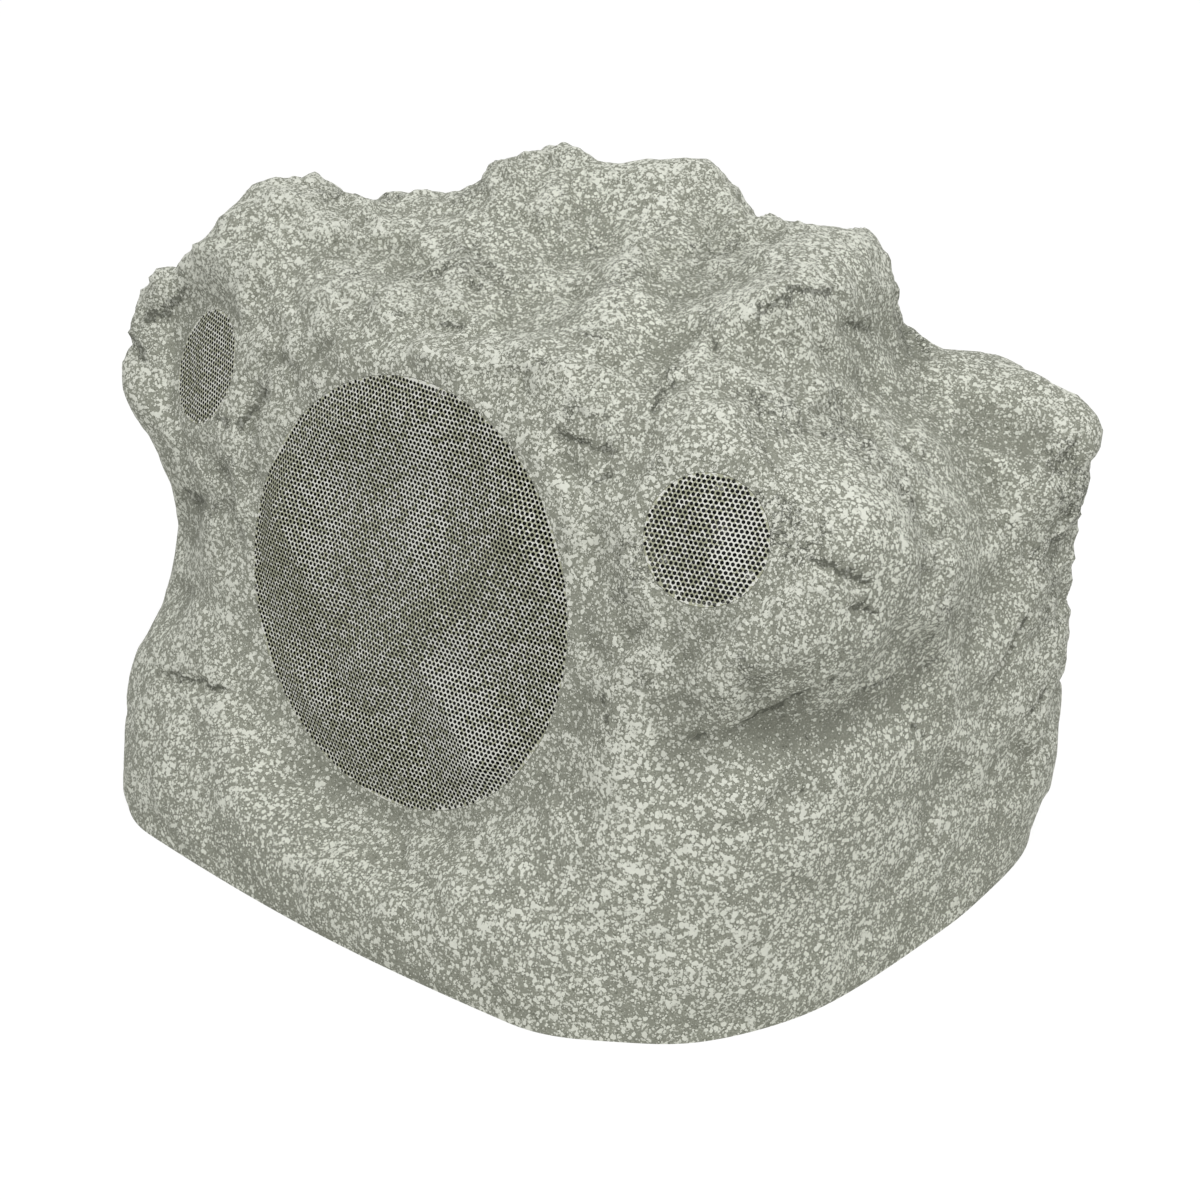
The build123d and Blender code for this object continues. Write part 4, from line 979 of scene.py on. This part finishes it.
class SPEAKER_OT_stone_housing(bpy.types.Operator):
    """Build the moulded stone housing with its wells, baffles and ledge"""

    bl_idname = "speaker.stone_housing"
    bl_label = "Stone Housing"

    def execute(self, context):
        stone = context.scene.speaker_stone
        grille = context.scene.speaker_grille
        housing, wear = self.outer_stone(stone, context.scene.speaker_stage)
        hollow = self.inner_hollow(stone)
        for node, seat in SEATS.items():
            baffle, border = driver_sizes(grille, node, "baffle", "border")
            block = ((seat.radius + border, -baffle, baffle),)
            carve(hollow, new_piece("baffle", *turned(seat, block)))
        turns = (np.arange(stone.screws) + 0.5) * 2 * math.pi / stone.screws
        screws = stone_skin(stone, turns, np.zeros(stone.screws), stone.boss_inset)
        boss_bottom = (stone.ledge_bottom + stone.ledge_top) / 2
        carve(hollow, new_piece("bosses", *upright(screws, stone.boss_radius, boss_bottom, stone.boss_top)))
        carve(housing, hollow)
        carve(housing, new_piece("holes", *upright(screws, stone.screw_hole, -1 * MM, stone.screw_top)))
        self.gland_hole(housing, stone)
        for node, seat in SEATS.items():
            self.well(housing, node, seat, grille)
        self.mark_wear(housing.data, wear)
        housing.data.shade_smooth()
        sharp_edge = math.radians(55)
        housing.data.set_sharp_from_angle(angle=sharp_edge)
        dress(housing, "stone_composite")
        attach(housing, "enclosure")
        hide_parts("rock_shell")
        return {"FINISHED"}

    def well(self, housing, node, seat, grille):
        """Well behind a grille: the opening through the baffle, the driver's room and the mouth."""
        names = ("rim", "well", "seat", "opening", "baffle")
        rim, room, depth, opening, baffle = driver_sizes(grille, node, *names)
        mouth = seat.radius + grille.clearance
        steps = ((opening, -2 * baffle, -depth), (room, -depth, -rim), (mouth, -rim, baffle))
        carve(housing, new_piece("well", *turned(seat, steps)))

    def gland_hole(self, housing, stone):
        """Hole through the rear wall with a spot face on each side of it."""
        columns = 48
        seat = gland_seat(stone)
        inner = 2 * stone.gland_depth - stone.wall
        steps = (
            (seat.radius, 4 * inner, inner),
            (stone.gland_hole, inner, 0),
            (seat.radius, 0, stone.wall),
        )
        carve(housing, new_piece("gland_seat", *turned(seat, steps, columns)))

    def outer_stone(self, stone, stage):
        """Weathered outside: the plain skin moved along its normals by the height of the weathering."""
        turn = around(stone.columns)
        climb = (np.arange(stone.rows) / stone.rows * math.pi / 2)[:, None]
        points = stone_skin(stone, turn, climb)
        normals = grid_normals(points)
        areas = np.linalg.norm(normals, axis=-1)
        wear = Wear(stage, points)
        points = points + unit(normals) * weathering(stone, points, areas, wear)[..., None]
        points[0, :, 2] = 0
        crown = points[-1].mean(axis=0)
        housing = new_piece("stone_housing", *capped_grid(points, np.zeros(3), crown))
        # Painted shade in hollows and painted light on edges, plus the painted shade spots
        hollow = painted_relief_shade(points) + painted_shade_spots(stage, points)
        mark(housing.data, "painted_relief_shade", "POINT", np.append(hollow, (0, 0)))
        return housing, wear

    def inner_hollow(self, stone):
        """Hollow inside: a pocket for the base plate, the ledge, then the skin moved in by the wall."""
        below = -10 * MM
        lowest, highest = 6, 89
        columns = stone.columns // 3
        turn = around(columns)
        outline = stone_skin(stone, turn, np.zeros(1)[:, None], stone.wall)[0]
        opening = stone_skin(stone, turn, np.zeros(1)[:, None], stone.wall + stone.ledge_width)[0]
        rings = (outline, outline, opening, opening, outline)
        heights = (below, stone.ledge_bottom, stone.ledge_bottom, stone.ledge_top, stone.ledge_top)
        rows = [np.column_stack((r[:, :2], np.full(columns, h))) for r, h in zip(rings, heights)]
        climb = np.radians(np.linspace(lowest, highest, stone.rows // 3))[:, None]
        skin = stone_skin(stone, turn, climb)
        skin = skin - unit(grid_normals(skin)) * stone.wall
        points = np.concatenate((np.array(rows), skin))
        return new_piece("hollow", *capped_grid(points, np.array((0, 0, below)), skin[-1].mean(axis=0)))

    def mark_wear(self, mesh, wear):
        """Store the distances to the nearest pit or crack and how rough the place is, for the finish."""
        points = mesh_points(mesh)
        _, nearest, signed = wear.measure(points)
        mark(mesh, "pit_away", "POINT", nearest)
        mark(mesh, "pit_upward", "POINT", signed)
        mark(mesh, "rough", "POINT", roughness(points))


class SPEAKER_OT_grilles(bpy.types.Operator):
    """Build the three perforated grilles with their pressed folds"""

    bl_idname = "speaker.grilles"
    bl_label = "Grilles"

    def execute(self, context):
        grille = context.scene.speaker_grille
        for node, seat in SEATS.items():
            self.grille(node, seat, grille)
        return {"FINISHED"}

    def sprayed(self, vertices, seat, patches):
        """Painted light and shade: extra share of pale coat, a sum of bells round the middles of facets
        painted lighter or darker.
        """
        off = (vertices - seat.centre) / seat.radius
        flat = np.stack((off @ seat.side, off @ seat.up), axis=-1)
        runs = [(np.array(a), np.array(b), w, r) for a, b, w, r in patches]
        return bells(flat, runs)

    def grille(self, node, seat, grille):
        """One grille: a perforated sheet and the rim round it, as one piece."""
        sheet_points, sheet_faces, painted = self.sheet(seat, FOLDS[node], grille)
        rim_points, rim_faces = self.rim(seat, *driver_sizes(grille, node, "rim"), grille)
        vertices = np.vstack((sheet_points, rim_points))
        faces = sheet_faces.tolist() + (rim_faces + len(sheet_points)).tolist()
        piece = new_piece(f"perforated_{node}", vertices, faces)
        # Faces that get the painted shade: the hole walls and the back of the sheet
        mark(piece.data, "bare", "FACE", np.arange(len(piece.data.polygons)) >= painted)
        # Painted light and shade on the facets of the grille
        mark(piece.data, "sprayed", "POINT", self.sprayed(vertices, seat, FACET_LIGHT[node]))
        dress(piece, "painted_sheet")
        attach(piece, "enclosure")
        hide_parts(node)

    def sheet(self, seat, folds, grille):
        """Sheet with six-sided holes on a triangular lattice, out to a round edge.

        Every lattice cell gives the six corners of its hole. A quad joins the facing sides of two
        neighbours, a triangle joins the corners where three cells meet, and cells near the edge have
        their hole filled. Points past the edge move in to it. Free edges get a wall to the underside.
        """
        inset, least = 0.05 * MM, 1e-9
        border_holes, skewed, outside = 0.2, 1.16, 1.3
        edge = seat.radius - inset
        reach = seat.radius - border_holes * grille.hole
        count = int(seat.radius / grille.pitch * skewed) + 3
        span = np.arange(-count, count + 1)
        skew, row = np.meshgrid(span, span, indexing="ij")
        cells = len(span)
        across = grille.pitch * (skew + row / 2)
        upward = grille.pitch * row * math.sqrt(3) / 2
        away = np.hypot(across, upward)
        present = away <= seat.radius + outside * grille.pitch
        angle = np.radians(30 + 60 * np.arange(6))
        corner = grille.hole / math.sqrt(3)
        corner_across = across[..., None] + corner * np.cos(angle)
        corner_upward = upward[..., None] + corner * np.sin(angle)
        flat = np.stack((corner_across, corner_upward), axis=-1).reshape(-1, 2)

        def cell(move_skew, move_row, index):
            """Corner number of the neighbour cell at that move, for every inner cell of the lattice."""
            i, j = np.meshgrid(np.arange(1, cells - 1), np.arange(1, cells - 1), indexing="ij")
            return ((i + move_skew) * cells + j + move_row) * 6 + index

        here, right, above, left = (0, 0), (1, 0), (0, 1), (-1, 1)
        triangles = []
        for a, b, c in (
            ((*here, 5), (*right, 3), (*right, 2)),
            ((*here, 5), (*right, 2), (*here, 0)),
            ((*here, 0), (*above, 4), (*above, 3)),
            ((*here, 0), (*above, 3), (*here, 1)),
            ((*here, 1), (*left, 5), (*left, 4)),
            ((*here, 1), (*left, 4), (*here, 2)),
            ((*here, 0), (*right, 2), (*above, 4)),
            ((*here, 1), (*above, 3), (*left, 5)),
        ):
            triangles.append(np.stack((cell(*a), cell(*b), cell(*c)), axis=-1).reshape(-1, 3))
        filled = np.flatnonzero((present & (away > reach)).ravel()) * 6
        for k in (1, 2, 3, 4):
            triangles.append(np.stack((filled, filled + k, filled + k + 1), axis=-1))
        triangles = np.concatenate(triangles)
        here_present = present.ravel()[triangles // 6].all(axis=1)
        radius = np.hypot(flat[:, 0], flat[:, 1])
        triangles = triangles[here_present & (radius[triangles] < edge).any(axis=1)]
        used, triangles = np.unique(triangles, return_inverse=True)
        triangles = triangles.reshape(-1, 3)
        flat = flat[used] * np.minimum(1, edge / np.maximum(radius[used], least))[:, None]
        height = self.folds(flat, folds, seat.radius, edge) - inset
        top = seat.place(flat[:, 0], flat[:, 1], height)
        count = len(top)
        edges = np.concatenate([triangles[:, (k, (k + 1) % 3)] for k in range(3)])
        free = edges[~np.isin(edges[:, 0] * count + edges[:, 1], edges[:, 1] * count + edges[:, 0])]
        walls = np.concatenate(
            (
                np.stack((free[:, 1], free[:, 0], free[:, 0] + count), axis=-1),
                np.stack((free[:, 1], free[:, 0] + count, free[:, 1] + count), axis=-1),
            )
        )
        vertices = np.vstack((top, top - seat.normal * grille.sheet))
        return vertices, np.concatenate((triangles, triangles[:, ::-1] + count, walls)), len(triangles)

    def folds(self, flat, folds, radius, edge):
        """Height of the pressed folds: the highest of straight slopes from crests, low at the edge."""
        border_share = 0.16
        height = np.zeros(len(flat))
        for start, end, width, rise in folds:
            start, run = np.array(start) * radius, (np.array(end) - np.array(start)) * radius
            away = np.linalg.norm(off_run(flat, start, run), axis=1)
            height = np.maximum(height, rise * MM * np.clip(1 - away / (width * radius), 0, 1))
        border = edge - np.hypot(flat[:, 0], flat[:, 1])
        return height * smooth(border / (border_share * radius))

    def rim(self, seat, rim, grille):
        """Rim turned about the axis from a closed profile, behind the edge of the sheet."""
        columns = 240
        outer, inner, top = seat.radius, seat.radius - grille.sheet, -0.9 * grille.sheet
        points = lathe(seat, ((inner, top), (outer, top), (outer, -rim), (inner, -rim)), columns)
        quads = grid_faces(len(points) + 1, columns) % (len(points) * columns)
        return points.reshape(-1, 3), np.concatenate((quads[:, (0, 2, 1)], quads[:, (0, 3, 2)]))


class SPEAKER_OT_stage(bpy.types.Operator):
    """Set the floor, the light and the camera"""

    bl_idname = "speaker.stage"
    bl_label = "Stage"

    def execute(self, context):
        stage = context.scene.speaker_stage
        self.floor(stage)
        self.sky(context.scene, stage)
        self.lamp(context.scene, stage)
        camera = bpy.data.objects.new("camera", bpy.data.cameras.new("camera"))
        context.scene.collection.objects.link(camera)
        camera.data.lens = stage.lens
        camera.data.sensor_width = stage.sensor
        self.aim(camera, stage.eye, stage.target)
        context.scene.camera = camera
        context.scene.view_settings.view_transform = "Standard"
        return {"FINISHED"}

    def aim(self, thing, place, target):
        """Put a lamp or a camera at a place and turn it to a target."""
        thing.location = place
        thing.rotation_euler = (Vector(target) - Vector(place)).to_track_quat("-Z", "Y").to_euler()

    def seen(self, tree):
        """One for what the camera sees straight, mirrored or through glass, and zero for other light."""
        path = add_node(tree, "ShaderNodeLightPath").outputs
        straight = maths(tree, "MAXIMUM", path["Is Camera Ray"], path["Is Glossy Ray"])
        return maths(tree, "MAXIMUM", straight, path["Is Transmission Ray"])

    def floor(self, stage):
        """Round pale floor just under the base, white to the camera but for the object's shadow."""
        columns = 64
        angle = around(columns)
        across, along = stage.floor_radius * np.cos(angle), stage.floor_radius * np.sin(angle)
        ring = np.stack((across, along, np.full(columns, -stage.floor_drop)), axis=-1)
        floor = new_piece("floor", ring, [list(range(columns))])
        material = bpy.data.materials.new("pale_studio_floor")
        material.use_nodes = True
        tree = material.node_tree
        tree.nodes.clear()
        matt = add_node(tree, "ShaderNodeBsdfDiffuse", {"Color": stage.floor_colour})
        white = add_node(tree, "ShaderNodeEmission", {"Color": (1, 1, 1, 1), "Strength": stage.floor_white})
        share = maths(tree, "MULTIPLY", self.seen(tree), stage.floor_share)
        both = add_node(tree, "ShaderNodeMixShader", {0: share, 1: matt.outputs[0], 2: white.outputs[0]})
        add_node(tree, "ShaderNodeOutputMaterial", {"Surface": both.outputs[0]})
        floor.data.materials.append(material)

    def sky(self, scene, stage):
        """Even studio light from all round, which the camera sees as white."""
        world = bpy.data.worlds.new("studio")
        world.use_nodes = True
        tree = world.node_tree
        tree.nodes.clear()
        strength = {"Value": self.seen(tree), "To Min": stage.sky, "To Max": 1.0}
        strength = add_node(tree, "ShaderNodeMapRange", strength).outputs["Result"]
        light = add_node(tree, "ShaderNodeBackground", {"Color": (1, 1, 1, 1), "Strength": strength})
        add_node(tree, "ShaderNodeOutputWorld", {"Surface": light.outputs[0]})
        scene.world = world

    def lamp(self, scene, stage):
        """Square soft key lamp that faces the object."""
        light = bpy.data.lights.new("key_softbox", "AREA")
        light.size = stage.key_size
        light.energy = stage.key_power
        lamp = bpy.data.objects.new("key_softbox", light)
        scene.collection.objects.link(lamp)
        self.aim(lamp, stage.key_place, stage.key_target)


class SPEAKER_PT_panel(bpy.types.Panel):
    """Settings and steps of the speaker"""

    bl_idname = "SPEAKER_PT_panel"
    bl_label = "Garden Speaker"
    bl_space_type = "VIEW_3D"
    bl_region_type = "UI"
    bl_category = "Speaker"

    def draw(self, context):
        for group in GROUPS:
            box = self.layout.box()
            settings = getattr(context.scene, group)
            for name in settings.__annotations__:
                box.prop(settings, name)
        for operator in OPERATORS:
            self.layout.operator(operator.bl_idname)


GROUPS = {
    "speaker_stone": StoneSettings,
    "speaker_grille": GrilleSettings,
    "speaker_finish": FinishSettings,
    "speaker_stage": StageSettings,
}
OPERATORS = (SPEAKER_OT_finishes, SPEAKER_OT_stone_housing, SPEAKER_OT_grilles, SPEAKER_OT_stage)


def register():
    """Register the settings, the steps and the panel."""
    for group in (*GROUPS.values(), *OPERATORS, SPEAKER_PT_panel):
        bpy.utils.register_class(group)
    for name, group in GROUPS.items():
        setattr(bpy.types.Scene, name, bpy.props.PointerProperty(type=group))


def unregister():
    """Undo what register did."""
    for name in GROUPS:
        delattr(bpy.types.Scene, name)
    for group in (SPEAKER_PT_panel, *OPERATORS, *GROUPS.values()):
        bpy.utils.unregister_class(group)


def main():
    """Build the speaker step by step."""
    register()
    bpy.ops.speaker.finishes()
    bpy.ops.speaker.stone_housing()
    bpy.ops.speaker.grilles()
    bpy.ops.speaker.stage()


if __name__ == "__main__":
    main()
